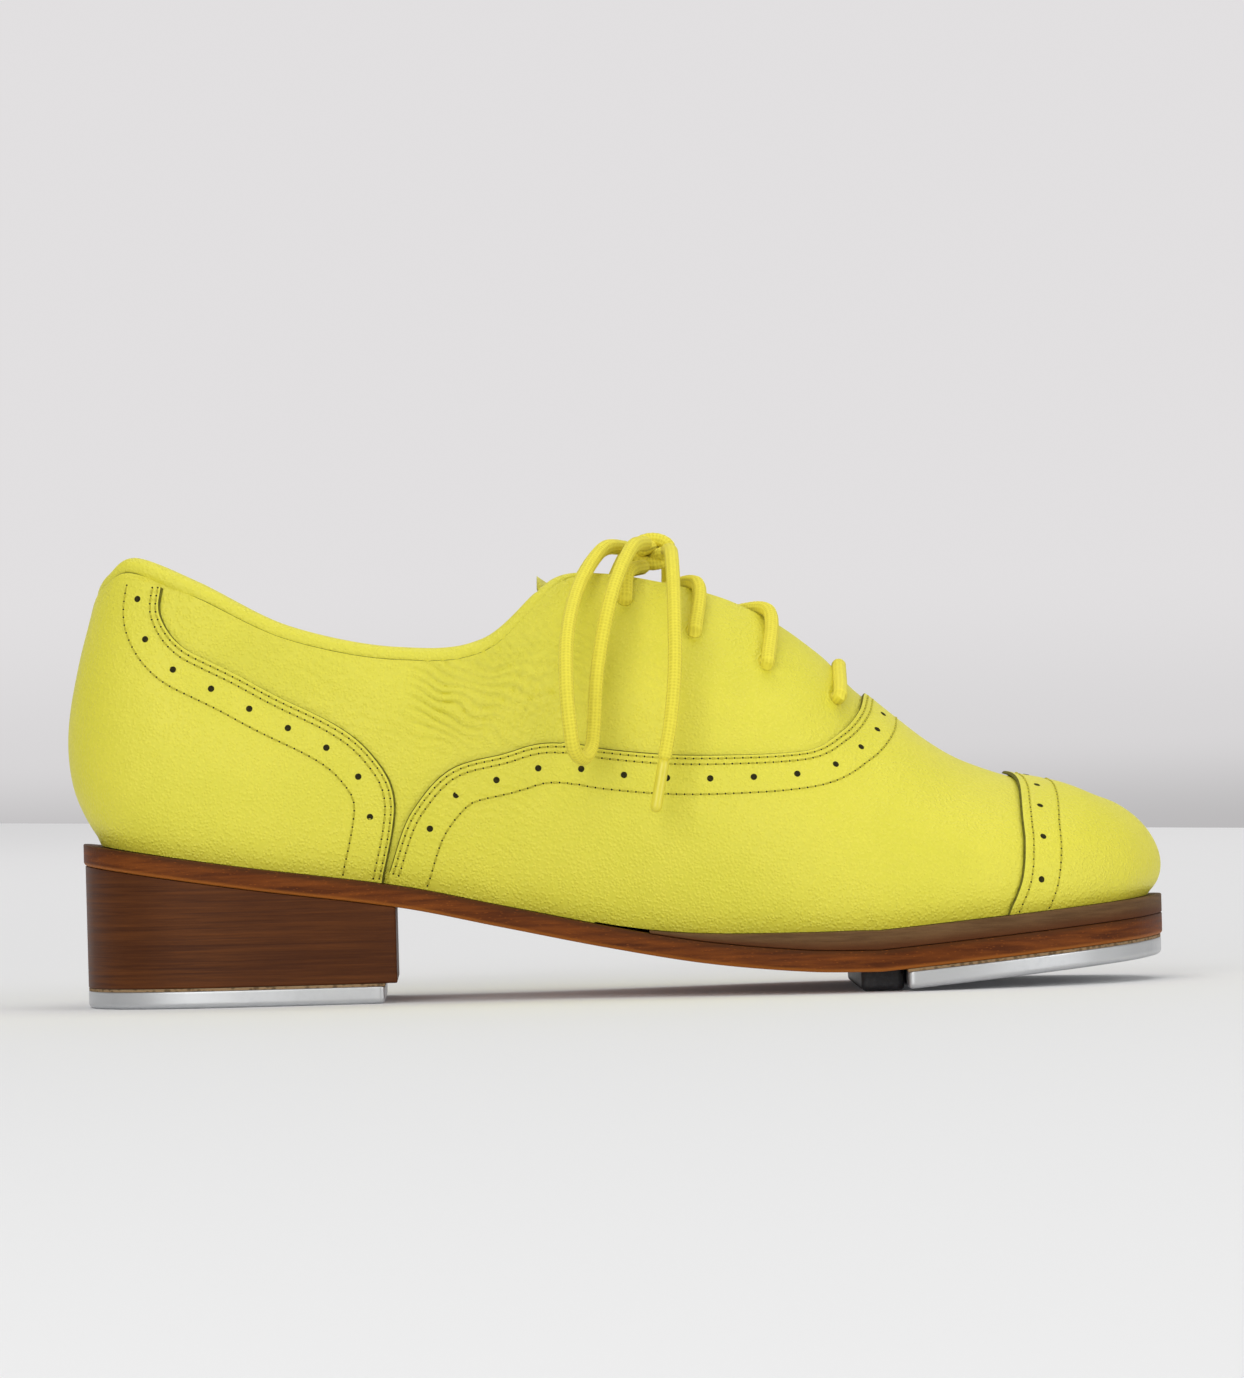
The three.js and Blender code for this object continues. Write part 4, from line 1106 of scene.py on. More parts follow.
class TapOxfordSizes(bpy.types.PropertyGroup):
    stitch: size_property("Stitch length", "From one needle hole to the next", 0.0021)
    thread: size_property("Thread", "Diameter of the sewing thread", 0.0005)
    hole: size_property("Punched hole", "Diameter of the decorative holes", 0.0015)
    hole_pitch: size_property("Hole pitch", "From one decorative hole to the next", 0.0111)
    crease: size_property("Crease depth", "Depth of the folds in the quarters", 0.00085)
    lace: size_property("Lace", "Diameter of the lace", 0.0036)


def colour_property(name, value):
    text = f"Colour of the {name.lower()}"
    return FloatVectorProperty(
        name=name, description=text, subtype="COLOR", size=3, min=0, max=1, default=value)


class TapOxfordColours(bpy.types.PropertyGroup):
    leather: colour_property("Upper leather", (0.79, 0.725, 0.06))
    edge: colour_property("Panel edges", (0.10, 0.095, 0.012))
    thread: colour_property("Thread", (0.60, 0.54, 0.045))
    hole: colour_property("Punched holes", (0.022, 0.020, 0.006))
    lining: colour_property("Lining", (0.62, 0.50, 0.30))
    lace: colour_property("Lace", (0.86, 0.76, 0.07))
    sole: colour_property("Outsole", (0.155, 0.042, 0.006))
    welt: colour_property("Welt", (0.135, 0.073, 0.031))
    heel: colour_property("Heel block", (0.084, 0.024, 0.0045))
    tap: colour_property("Taps", (0.62, 0.63, 0.64))
    rubber: colour_property("Rubber pad", (0.012, 0.012, 0.014))
    board: colour_property("Inner boards", (0.22, 0.15, 0.085))


# ---------- leather shapes ----------


def soft_noise(points, scale, seed):
    offset = Vector((seed * 7.3, seed * 3.1, seed * 5.7))
    return np.array([noise.noise(Vector(p) * scale + offset) for p in points])


def nearest(points, targets):
    tree = KDTree(len(targets))
    for i, p in enumerate(targets):
        tree.insert(Vector(p), i)
    tree.balance()
    return np.array([tree.find(Vector(p))[2] for p in points])


def seam_lines(line, side, distances, layer):
    """Lines inside a panel's edge, as points on the panel's surface, without the folds of tight turns."""
    edge = last_point(side, *line(np.linspace(0, 1, 800)).T)
    lines = []
    for distance in distances:
        uv = inside_line(side, line, distance)
        keep = (uv[:, 1] > SEAM_FOOT) & (uv[:, 1] < SEAM_TOP) & (uv[:, 0] > 0) & (uv[:, 0] < 1)
        uv = uv[keep]
        uv = uv[nearest(last_point(side, *uv.T), edge) > FOLD_TRIM * distance]
        lines.append(beneath(side, uv[:, 0], uv[:, 1], np.full(len(uv), layer * LAYER)))
    return lines


def grooves(lines, depth=0.16, width=0.8):
    """Leather pulled in along sewn lines."""
    targets = np.concatenate(lines)

    def relief(points, side):
        return depth * np.exp(-((nearest(points, targets) / width) ** 2))

    return relief


def wavy(depth, scale, seed):
    return lambda points, side: depth * soft_noise(points, scale, seed)


def folds(depth, centre, reach, slant, pitch, seed):
    """Fine folds that run down and forwards, strongest about a centre by station and height."""

    def relief(points, side):
        x, z = points[:, 0], points[:, 2]
        warp = soft_noise(points, 0.045, seed) * 2.6 + soft_noise(points, 0.13, seed + 1) * 0.9
        phase = (z + slant * x) / pitch + warp
        ridge = (1 - np.abs(np.sin(math.pi * phase))) ** 2.2
        patchy = np.clip(0.55 + 1.3 * soft_noise(points, 0.06, seed + 2), 0, 1.2)
        near = np.exp(-(((x - centre[0]) / reach[0]) ** 2) - ((z - centre[1]) / reach[1]) ** 2)
        return depth * ridge * patchy * near

    return relief


def together(*reliefs):
    return lambda points, side: sum(r(points, side) for r in reliefs)


SOFTNESS = together(wavy(0.3, 0.035, 2), wavy(0.1, 0.12, 5))


def sew(name, rows, piece, body=None):
    """Rows of stitches along lines on a piece: each a short raised thread between two needle holes, which are small
    dark marks of painted shade.
    """
    surface = surface_of(piece)
    pitch = sizes().stitch / MM
    radius = sizes().thread / MM / 2
    threads, holes = [], []
    for row in rows:
        if len(row) < 4:
            continue
        marks = evenly(row, pitch)
        marks, normals = dropped(surface, marks, 0.0)
        for a, b, na, nb in zip(marks, marks[1:], normals, normals[1:]):
            if np.linalg.norm(b - a) > 1.6 * pitch:
                continue
            up = unit(na + nb)
            path = [a + (b - a) * k + up * radius * h for k, h in STITCH_ARCH]
            upright = up + np.array([1e-3, 2e-3, 0])
            threads.append(tube(path, radius, sides=6, up=upright, round_ends=False)[:2])
        # Each needle hole is a small dark mark of painted shade that stands on the surface.
        for a, n in zip(marks, normals):
            side = unit(np.cross(n, [0.3, 0.2, 1.0]))
            other = np.cross(n, side)
            ring = [a + n * 0.035 + (side * math.cos(k) + other * math.sin(k)) * NEEDLE_HOLE
                    for k in np.linspace(0, 2 * math.pi, 7)[:-1]]
            low = [p - n * 0.2 for p in ring]
            holes.append((np.array(ring + low), [tuple(range(6)), tuple(range(11, 5, -1))] + [
                (k, (k + 1) % 6, (k + 1) % 6 + 6, k + 6) for k in range(6)]))
    verts, faces = joined(threads + holes)
    made = new_piece(name, verts, faces, [finish("thread"), finish("hole")])
    thread_faces = sum(len(f) for _, f in threads)
    for polygon in made.data.polygons[thread_faces:]:
        polygon.material_index = 1
    moves_with(made, body)


def moves_with(piece, body):
    """Rides on a body, or has its placement baked into its mesh where none is named."""
    if body:
        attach(piece, body)
    else:
        flexes(piece)


def punch_marks(name, rows, piece, pitch, radius, body=None, skip=0.5, spare=0.0):
    """Decorative holes along lines on a piece: dark discs that lie almost flush, with rounded rims; their dark is
    partly the backing and partly painted shade of the hole's depth.
    """
    surface = surface_of(piece)
    parts = []
    sides = MARK_SIDES
    turn = np.linspace(0, 2 * math.pi, sides, endpoint=False)
    for row in rows:
        marks = evenly(row, pitch * 0.1)
        gaps = np.concatenate([[0], np.cumsum(np.linalg.norm(np.diff(marks, axis=0), axis=1))])
        at = np.arange(pitch * skip, gaps[-1] - pitch * spare, pitch)
        centres = np.stack([np.interp(at, gaps, marks[:, k]) for k in range(3)], -1)
        centres, normals = dropped(surface, centres, 0.0)
        for c, n in zip(centres, normals):
            side = unit(np.cross(n, [0.3, 0.2, 1.0]))
            other = np.cross(n, side)
            circle = side * np.cos(turn)[:, None] + other * np.sin(turn)[:, None]
            rings = [c + circle * radius * r + n * h for r, h in MARK_RIM[:-1]]
            base = c + circle * radius * MARK_RIM[0][0] - n * 0.3
            verts = np.concatenate([*rings, [c + n * MARK_RIM[-1][1]], base])
            faces = []
            for i in range(len(rings) - 1):
                for j in range(sides):
                    k = (j + 1) % sides
                    here, there = i * sides, (i + 1) * sides
                    faces.append((here + j, here + k, there + k, there + j))
            tip = len(rings) * sides
            last = (len(rings) - 1) * sides
            faces += [(last + j, last + (j + 1) % sides, tip) for j in range(sides)]
            low = tip + 1
            faces += [(j, low + j, low + (j + 1) % sides, (j + 1) % sides) for j in range(sides)]
            faces.append(tuple(low + j for j in range(sides)))
            parts.append((verts, faces))
    verts, faces = joined(parts)
    moves_with(new_piece(name, verts, faces, [finish("hole")]), body)


SIDES = (("outer", -1), ("inner", 1))


def both(**patch):
    return [{**patch, "side": side} for _, side in SIDES]


class TAPOXFORD_OT_stage(bpy.types.Operator):
    """Pale studio floor and wall, soft lights and the camera"""

    bl_idname = "tap_oxford.stage"
    bl_label = "Stage"
    bl_options = {"REGISTER", "UNDO"}

    def execute(self, context):
        scene = context.scene
        scene.view_settings.view_transform = "Standard"
        focus = Vector((CAMERA_AIM[0], CAD_BOX[0].y, CAMERA_AIM[1]))
        yaw = math.radians(CAMERA_YAW)
        camera = bpy.data.cameras.new("camera")
        camera.lens = CAMERA_LENS
        camera.sensor_width = 36
        eye = bpy.data.objects.new("camera", camera)
        back = Vector((math.sin(yaw), -math.cos(yaw), 0))
        turn = (-back).to_track_quat("-Z", "Y").to_matrix().to_4x4()
        eye.matrix_world = Matrix.Rotation(math.radians(CAMERA_ROLL), 4, back) @ turn
        eye.location = focus + back * CAMERA_DISTANCE
        scene.collection.objects.link(eye)
        scene.camera = eye
        x0, y0, x1, y1 = FLOOR_BACK
        slope = (y1 - y0) / (x1 - x0)
        far = [(x, y0 + slope * (x - x0), 0) for x in (FLOOR_REACH / 4, -FLOOR_REACH / 4)]
        w = FLOOR_REACH
        corners = [(-w, -w, 0), (w, -w, 0), (w, far[0][1], 0), far[0], far[1], (-w, far[1][1], 0)]
        self.sheet("floor", corners)
        self.sheet("wall", [(-w, WALL_BEHIND, -w / 4), (w, WALL_BEHIND, -w / 4), (w, WALL_BEHIND, w),
                            (-w, WALL_BEHIND, w)])
        self.lights(scene)
        return {"FINISHED"}

    def sheet(self, name, points):
        mesh = bpy.data.meshes.new(name)
        mesh.from_pydata(points, [], [tuple(range(len(points)))])
        mesh.materials.append(finish(name))
        piece = bpy.data.objects.new(name, mesh)
        bpy.context.scene.collection.objects.link(piece)

    def lights(self, scene):
        world = bpy.data.worlds.new("studio")
        world.use_nodes = True
        background = world.node_tree.nodes["Background"]
        background.inputs[0].default_value = (1, 1, 1, 1)
        background.inputs[1].default_value = WORLD_LIGHT
        scene.world = world
        for name, at, size, power in LAMPS:
            lamp = bpy.data.lights.new(name, "AREA")
            lamp.size = size
            lamp.energy = power
            piece = bpy.data.objects.new(name, lamp)
            piece.location = at
            piece.rotation_euler = (Vector(LAMP_AIM) - Vector(at)).to_track_quat("-Z", "Y").to_euler()
            scene.collection.objects.link(piece)


class TAPOXFORD_OT_laces(bpy.types.Operator):
    """Lace through the eyelets, the knot, two bow loops and two ends with their aglets"""

    bl_idname = "tap_oxford.laces"
    bl_label = "Laces"
    bl_options = {"REGISTER", "UNDO"}

    def execute(self, context):
        radius = sizes().lace / MM / 2
        centre = float(bend(KNOT[0]))
        for word, side in SIDES:
            self.loop(word, side, centre, radius)
            self.end(word, side, centre, radius)
        self.knot(centre, radius)
        self.lacing(centre, radius)
        return {"FINISHED"}

    def braided(self, name, paths, radius, nodes):
        parts, reach, turn = [], [], []
        for path, ends in paths:
            v, f, s, a = tube(path, radius, sides=20, braid=BRAID_DEPTH, round_ends=ends)
            parts.append((v, f))
            reach.append(s)
            turn.append(a)
        verts, faces = joined(parts)
        piece = new_piece(name, verts, faces, [finish("lace")])
        set_attribute(piece, "reach", np.concatenate(reach))
        set_attribute(piece, "turn", np.concatenate(turn))
        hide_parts(*nodes)
        return piece

    def loop(self, word, side, centre, radius):
        path = curve_through([(x, centre + side * y, z) for x, y, z in LOOP_PATH], PATH_STEP)
        piece = self.braided(f"bow_{word}", [(path, True)], radius, [f"bow_loop_{word}"])
        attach(piece, "rearfoot")

    def end(self, word, side, centre, radius):
        given = np.array([(x, centre + side * y, z) for x, y, z in END_PATH], float)
        path = curve_through(given, PATH_STEP)
        piece = self.braided(f"end_{word}", [(path, True)], radius, [f"lace_end_{word}"])
        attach(piece, "rearfoot")
        down = unit(given[-1] - given[-2])
        start = given[-1] - down * 0.8
        tip = given[-1] + down * (SEAT_GAP + AGLET_LENGTH)
        film = evenly(np.array([start, tip]), 0.4)
        v, f, _, _ = tube(film, radius=AGLET_RADIUS, sides=20)
        aglet = new_piece(f"aglet_tube_{word}", v, f, [finish("aglet")])
        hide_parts(f"aglet_{word}")
        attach(aglet, "rearfoot")

    def knot(self, centre, radius):
        at = np.array([KNOT[0], centre, KNOT[1]])
        paths = []
        for y, tilt, rx, rz in ((-1.6, 0.35, 4.6, 3.1), (1.7, -0.3, 4.4, 3.0)):
            turn = np.linspace(0, 2 * math.pi, 60)
            ring = np.stack([rx * np.cos(turn), y + tilt * 3 * np.sin(turn), rz * np.sin(turn) + 0.2], -1)
            paths.append((evenly(at + ring, 0.4), True))
        across = curve_through(at + np.array([(-4, -5.0, 0.4), (-1, -2.5, 1.3), (0, 0, 1.6), (1, 2.5, 1.3),
                                              (3.4, 5.0, 0.4)]), 0.4)
        under = curve_through(at + np.array([(3.4, -5.0, -0.2), (1, -2, -1.0), (0, 0, -1.2), (-1, 2, -1.0),
                                             (-4, 5.0, -0.2)]), 0.4)
        paths += [(across, True), (under, True)]
        piece = self.braided("knot", paths, radius, ["lace_knot"])
        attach(piece, "rearfoot")

    def lacing(self, centre, radius):
        places = EYELET_PLACES

        def hole(side, k):
            u, v = places[k]
            depths = (LACE_REST + 0.7, LACE_REST + 2.6, 5, LACE_UNDER - 1)
            return [beneath(side, u, v, d) for d in depths]

        def over(side, k):
            return beneath(side, places[k][0], 0.975, LACE_REST)

        def under(side, k):
            return beneath(side, places[k][0] - 0.004, 0.96, LACE_UNDER)

        paths = []
        for _, side in SIDES:
            middle = (over(-side, 0) + over(side, 0)) / 2
            points = [middle, *hole(side, 0), *hole(side, 1)[::-1], over(side, 1)]
            here = side
            for k in range(2, len(places)):
                across = -here
                points.append((over(here, k - 1) + under(across, k)) / 2)
                here = across
                points += [under(here, k), *hole(here, k)[::-1], over(here, k)]
            beside = here * KNOT_SIZE[1]
            points.append(np.array([KNOT[0] - 2, centre + beside, KNOT[1] - KNOT_SIZE[2]]))
            paths.append((curve_through(points, PATH_STEP), True))
        piece = self.braided("lacing_strands", paths, radius, ["lacing"])
        flexes(piece)


class TAPOXFORD_OT_sole(bpy.types.Operator):
    """Outsole and the welt ply over its front"""

    bl_idname = "tap_oxford.sole"
    bl_label = "Sole"
    bl_options = {"REGISTER", "UNDO"}

    def execute(self, context):
        outsole = slab("outsole_leather", [finish("sole")], "sole",
                       low=sole_bottom, high=outsole_top, steps=220,
                       bottom=0.9, top=0.35)
        self.level(outsole, sole_bottom, outsole_top)
        outsole = drilled(outsole, screw_holes("toe_tap_screw_"))
        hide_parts("outsole")
        flexes(outsole)
        welt = slab("welt_leather_ply", [finish("welt")], "sole", start=outline_at(WELT_PIECE_START),
                    low=above(outsole_top, WELT_SEAT), high=feather, steps=160, bottom=0.25, top=0.35, cut=0.2)
        self.level(welt, outsole_top, feather)
        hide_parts("welt_midsole")
        flexes(welt)
        return {"FINISHED"}

    def level(self, piece, low, high):
        co = np.array([v.co for v in piece.data.vertices]) / MM
        x = co[:, 0] + PLACE
        set_attribute(piece, "level", (co[:, 2] - low(x)) / (high(x) - low(x)))


def screw_holes(prefix):
    """Cylinders round the screws of a plate, to cut their holes."""
    parts = []
    for name in NODES:
        if not name.startswith(prefix):
            continue
        low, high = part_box(name)
        middle = ((low + high) / 2) / MM
        half = (high.x - low.x) / MM / 2 + 0.25
        turn = np.linspace(0, 2 * math.pi, 28, endpoint=False)
        ring = np.stack([half * np.cos(turn), half * np.sin(turn), 0 * turn], -1)
        bottom = np.array([middle.x + PLACE, middle.y, low.z / MM - 6])
        top = np.array([middle.x + PLACE, middle.y, high.z / MM + 0.3])
        verts = np.concatenate([bottom + ring, top + ring])
        n = len(turn)
        faces = [(j, (j + 1) % n, (j + 1) % n + n, j + n) for j in range(n)]
        faces += [tuple(range(n)), tuple(range(2 * n - 1, n - 1, -1))]
        parts.append((verts, faces))
    verts, faces = joined(parts)
    return new_piece("screw_holes", verts, faces, [])


class TAPOXFORD_OT_heel(bpy.types.Operator):
    """Stacked heel block"""

    bl_idname = "tap_oxford.heel"
    bl_label = "Heel"
    bl_options = {"REGISTER", "UNDO"}

    def execute(self, context):
        heel = slab("heel_block_stack", [finish("heel")], "heel_stack", end=outline_at(HEEL_BREAST),
                    inset=TAP_SETBACK, low=above(floor_level, TAP_STACK),
                    high=above(sole_bottom, -HEEL_SEAT), steps=120, bottom=0.35, top=0.25, cut=0.9)
        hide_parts("heel_block")
        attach(heel, "rearfoot")
        return {"FINISHED"}


class TAPOXFORD_OT_taps(bpy.types.Operator):
    """Aluminium taps with their boards and screws, and the rubber pad"""

    bl_idname = "tap_oxford.taps"
    bl_label = "Taps"
    bl_options = {"REGISTER", "UNDO"}

    def execute(self, context):
        breast = outline_at(HEEL_BREAST - HEEL_TAP_BACKSET, TAP_SETBACK)
        toe = outline_at(TOE_TAP_START, TAP_SETBACK)
        for name, body, span, low in (
            ("heel_tap", "rearfoot", {"end": breast}, floor_level),
            ("toe_tap", "forefoot", {"start": toe}, plate_bottom),
        ):
            plate = slab(f"{name}_plate", [finish("tap")], "tap", inset=TAP_SETBACK, low=low,
                         high=above(low, TAP_PLATE), bottom=TAP_BEVEL, top=0.3, cut=1.6, steps=140,
                         segments=5, **span)
            plate = drilled(plate, screw_holes(f"{name}_screw_"))
            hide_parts(name)
            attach(plate, body)
            board = slab(f"{name}_fibre", [finish("board")], "board", inset=TAP_SETBACK + 0.1,
                         low=above(low, TAP_PLATE + BOARD_SEAT),
                         high=above(low, TAP_STACK - BOARD_TOP_SEAT), bottom=0.05, top=0.05, cut=0.3, steps=140,
                         **span)
            board = drilled(board, screw_holes(f"{name}_screw_"))
            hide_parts(f"{name}_board")
            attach(board, body)
            for k in (1, 2, 3):
                self.screw(f"{name}_screw_{k}", body)
        start = outline_at(PAD_END - PAD_LENGTH, PAD_INSET)
        pad = slab("ball_pad_rubber", [finish("rubber")], "rubber", start=start,
                   end=outline_at(PAD_END, PAD_INSET), inset=PAD_INSET, low=floor_level,
                   high=above(sole_bottom, -PAD_SEAT), steps=24, bottom=1.5, top=0.2, cut=1.8, segments=5)
        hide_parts("ball_pad")
        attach(pad, "forefoot")
        return {"FINISHED"}

    def screw(self, name, body):
        """A countersunk machine screw with a cross recess."""
        node = NODES[name]
        co = np.array([v.co for v in node.data.vertices]) / MM
        low = co[co[:, 2] < co[:, 2].min() + 0.9].mean(0)
        top = co[co[:, 2] > co[:, 2].max() - 0.5].mean(0)
        axis = unit(top - low)
        length = float(np.linalg.norm(top - low))
        side = unit(np.cross(axis, [0, 1, 0]))
        other = np.cross(axis, side)
        shape = [
            (0.0, 0.5), (0.55, 0.5), (0.6, 0.05), (2.3, 0.0), (2.9, 0.14), (3.15, 0.45), (3.0, 0.9),
            (1.5, 2.5), (1.45, length - 1.6), (0.6, length - 0.2), (0.0, length),
        ]
        sides = 24
        turn = np.linspace(0, 2 * math.pi, sides, endpoint=False)
        rings, faces = [], []
        for r, h in shape:
            cross = np.ones(sides)
            if r in (0.55, 0.6):
                cross = 1 + 2.1 * np.maximum(0, np.cos(4 * turn)) ** 6
            reach = r * cross
            circle = side * (np.cos(turn) * reach)[:, None] + other * (np.sin(turn) * reach)[:, None]
            rings.append(low + np.array([PLACE, 0, 0]) + axis * h + circle)
        for i in range(len(shape) - 1):
            for j in range(sides):
                k = (j + 1) % sides
                faces.append((i * sides + j, i * sides + k, (i + 1) * sides + k, (i + 1) * sides + j))
        verts = np.concatenate(rings)
        keys = np.round(verts * 1000).astype(int)
        _, first, index = np.unique(keys, axis=0, return_index=True, return_inverse=True)
        index = index.reshape(-1)
        faces = stripped([[int(index[i]) for i in face] for face in faces])
        piece = new_piece(f"{name}_turned", verts[first], faces, [finish("steel")])
        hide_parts(name)
        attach(piece, body)


class TAPOXFORD_OT_inside(bpy.types.Operator):
    """Linings, sock, boards and stiffeners"""

    bl_idname = "tap_oxford.inside"
    bl_label = "Inside"
    bl_options = {"REGISTER", "UNDO"}

    def execute(self, context):
        seam_foot = foot_at(LINING_SEAM)
        plain = wavy(0.12, 0.05, 4)
        lining = leather_panel(
            "quarter_lining_leather",
            both(edge=lambda t: np.stack([t * (THROAT - 0.01), collar_top(t * (THROAT - 0.01))], -1),
                 far=straight((0, 0), (seam_foot - 0.004, 0)), steps=150, rows=40, cut=True),
            LINING_LAYER, plain, [finish("lining")],
        )
        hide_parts("quarter_lining")
        flexes(lining)
        seam = straight((seam_foot, 0), (THROAT, 1))
        vamp = leather_panel(
            "vamp_lining_leather",
            both(edge=seam, far=lambda t: np.stack([np.ones_like(t), t], -1), steps=60, rows=60, cut=True),
            LINING_LAYER, plain, [finish("lining")],
        )
        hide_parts("vamp_lining")
        flexes(vamp)
        sock = slab("sock_leather", [finish("lining")], "lining", inset=INSOLE_INSET, low=sock_bottom,
                    high=above(sock_bottom, SOCK), steps=160, bottom=0.2, top=0.5)
        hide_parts("sock_liner")
        flexes(sock)
        board = slab("insole_fibre", [finish("board")], "board", inset=INSOLE_INSET,
                     low=above(sock_bottom, -SEAT_GAP - INSOLE_BOARD), high=above(sock_bottom, -SEAT_GAP),
                     steps=120, bottom=0.2, top=0.2)
        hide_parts("insole_board")
        flexes(board)
        for name in ("cork_filler", "facing_stay_outer", "facing_stay_inner", "eyelet_outer_1", "eyelet_inner_1",
                     "eyelet_outer_2", "eyelet_inner_2", "eyelet_outer_3", "eyelet_inner_3"):
            self.carried(name)
        for name in ("shank", "eyelet_outer_4", "eyelet_inner_4"):
            self.refinished(name, "steel")
        for name in ("heel_counter", "toe_puff"):
            self.refinished(name, "board")
        return {"FINISHED"}

    def refinished(self, name, look):
        node = NODES[name]
        node.data.materials.clear()
        node.data.materials.append(finish(look))

    def carried(self, name):
        """A hidden part copied as a new piece: the same shape, finely divided."""
        look, slot = ("steel", "steel") if name.startswith("eyelet") else ("board", "board")
        node = NODES[name]
        mesh = node.data.copy()
        bm = bmesh.new()
        bm.from_mesh(mesh)
        bmesh.ops.remove_doubles(bm, verts=bm.verts, dist=1e-6)
        if not name.startswith("eyelet"):
            bmesh.ops.subdivide_edges(bm, edges=bm.edges, cuts=2, use_grid_fill=True)
        bm.to_mesh(mesh)
        bm.free()
        mesh.materials.clear()
        mesh.materials.append(finish(look))
        piece = bpy.data.objects.new(f"{name}_flexing", mesh)
        bpy.context.scene.collection.objects.link(piece)
        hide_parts(name)
        flexes(piece)


def sock_bottom(x):
    return feather(x) + SEAT_GAP + SHANK_THICK + SEAT_GAP + INSOLE_BOARD + SEAT_GAP


class TAPOXFORD_OT_quarters(bpy.types.Operator):
    """The two quarters, creased above the waist, with their eyelet holes"""

    bl_idname = "tap_oxford.quarters"
    bl_label = "Quarters"
    bl_options = {"REGISTER", "UNDO"}

    def execute(self, context):
        foot = foot_at(VAMP_EDGE[0][0]) + UNDERLAP
        under = []
        for t in (0.2, 0.4, 0.6, 0.8, 1.0):
            u, v = vamp_edge(t)
            under.append((u + UNDERLAP / 2, max(0, v - (0.1 * (1 - t) + 0.05))))
        low = through([(0.001, 0), (foot / 3, 0), (2 * foot / 3, 0), (foot, 0), *under])
        relief = together(
            folds(sizes().crease / MM, (92, 78), (44, 12), 0.4, 3.3, 11),
            folds(sizes().crease / MM * 0.7, (122, 82), (20, 16), 0.8, 2.9, 23),
            folds(sizes().crease / MM * 0.7, (68, 78), (22, 5), -0.12, 6.0, 57),
            SOFTNESS,
        )
        for word, side in SIDES:
            raised = together(relief, raised_quarter(side))
            piece = leather_panel(
                f"quarter_{word}_leather",
                [dict(side=side, edge=quarter_top, far=low, steps=330, rows=90, cut=True)],
                QUARTER_DEPTH, raised, [finish("leather"), finish("edge")],
            )
            creases(piece, relief, side)
            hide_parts(f"quarter_{word}")
            flexes(piece)
            self.rims(word, side, piece)
        return {"FINISHED"}

    def rims(self, word, side, quarter):
        """Turned-in rims of the four lace holes."""
        surface = surface_of(quarter)
        parts = []
        for u, v in EYELET_PLACES:
            centre = last_point(side, u, v)
            (centre,), (n,) = dropped(surface, [centre], 0.0)
            a = unit(np.cross(n, [1, 0.2, 0.1]))
            b = np.cross(n, a)
            turn = np.linspace(0, 2 * math.pi, 24, endpoint=False)
            circle = a * np.cos(turn)[:, None] + b * np.sin(turn)[:, None]
            shape = [(2.75, -0.1), (2.6, 0.1), (2.3, 0.14), (2.0, 0.02), (1.9, -0.6)]
            rings = [centre + circle * r + n * h for r, h in shape]
            count = len(turn)
            faces = [(i * count + j, i * count + (j + 1) % count, (i + 1) * count + (j + 1) % count,
                      (i + 1) * count + j) for i in range(len(shape) - 1) for j in range(count)]
            faces += [tuple(range(count)), tuple(range((len(shape) - 1) * count, len(shape) * count))]
            parts.append((np.concatenate(rings), faces))
        verts, faces = joined(parts)
        rim = new_piece(f"lace_holes_{word}", verts, faces, [finish("leather"), finish("hole")])
        # The caps that fill each lace hole are painted shade of the hole's inside.
        for polygon in rim.data.polygons:
            if len(polygon.vertices) > 4:
                polygon.material_index = 1
        flexes(rim)


def quarter_top(t):
    """Runs up below the collar, and then along the facing."""
    u = 0.001 + (THROAT - 0.007) * np.asarray(t, float)
    return np.stack([u, 1 - 0.4 * (1 - collar_top(u))], -1)


def raised_quarter(side):
    """Fills the quarter out between the seams of the vamp and the foxing."""
    t = np.linspace(0, 1, 300)
    seams = np.concatenate([last_point(side, *line(t).T) for line in (vamp_edge, foxing_edge)])
    return lambda points, _: -QUARTER_RISE * smoothstep(nearest(points, seams), 1.5, 15)


def creases(piece, relief, side):
    """Marks how deep each point of a panel is folded in, for the painted shade that its finish puts in the folds."""
    co = np.array([v.co for v in piece.data.vertices]) / MM + np.array([PLACE, 0, 0])
    set_attribute(piece, "crease", np.clip(relief(co, side) / (sizes().crease / MM), 0, 1))


class TAPOXFORD_OT_foxing(bpy.types.Operator):
    """Foxing over the heel, with its seam rows and punched holes"""

    bl_idname = "tap_oxford.foxing"
    bl_label = "Heel foxing"
    bl_options = {"REGISTER", "UNDO"}

    def execute(self, context):
        top = foxing_edge(1.0)
        top_edge = reversed_line(foxing_edge)
        lines = [line for _, side in SIDES for line in seam_lines(top_edge, side, SEAM_ROWS, 1)]
        relief = together(grooves(lines), SOFTNESS,
                          folds(0.14, (66, 44), (18, 8), -1.0, 2.2, 31))
        piece = leather_panel(
            "heel_foxing_leather",
            both(edge=foxing_edge, far=lambda t: np.stack([0 * t, t * top[1]], -1), steps=220, rows=80, cut=True),
            1, relief, [finish("leather"), finish("edge")],
        )
        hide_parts("heel_foxing")
        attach(piece, "rearfoot")
        sew("foxing_stitches", lines, piece, "rearfoot")
        holes = [line for _, side in SIDES for line in seam_lines(top_edge, side, (HOLE_ROW,), 1)]
        pitch, radius = sizes().hole_pitch / MM, sizes().hole / MM / 2
        punch_marks("foxing_holes", holes, piece, pitch, radius, "rearfoot", skip=0.3,
                    spare=1.1)
        return {"FINISHED"}


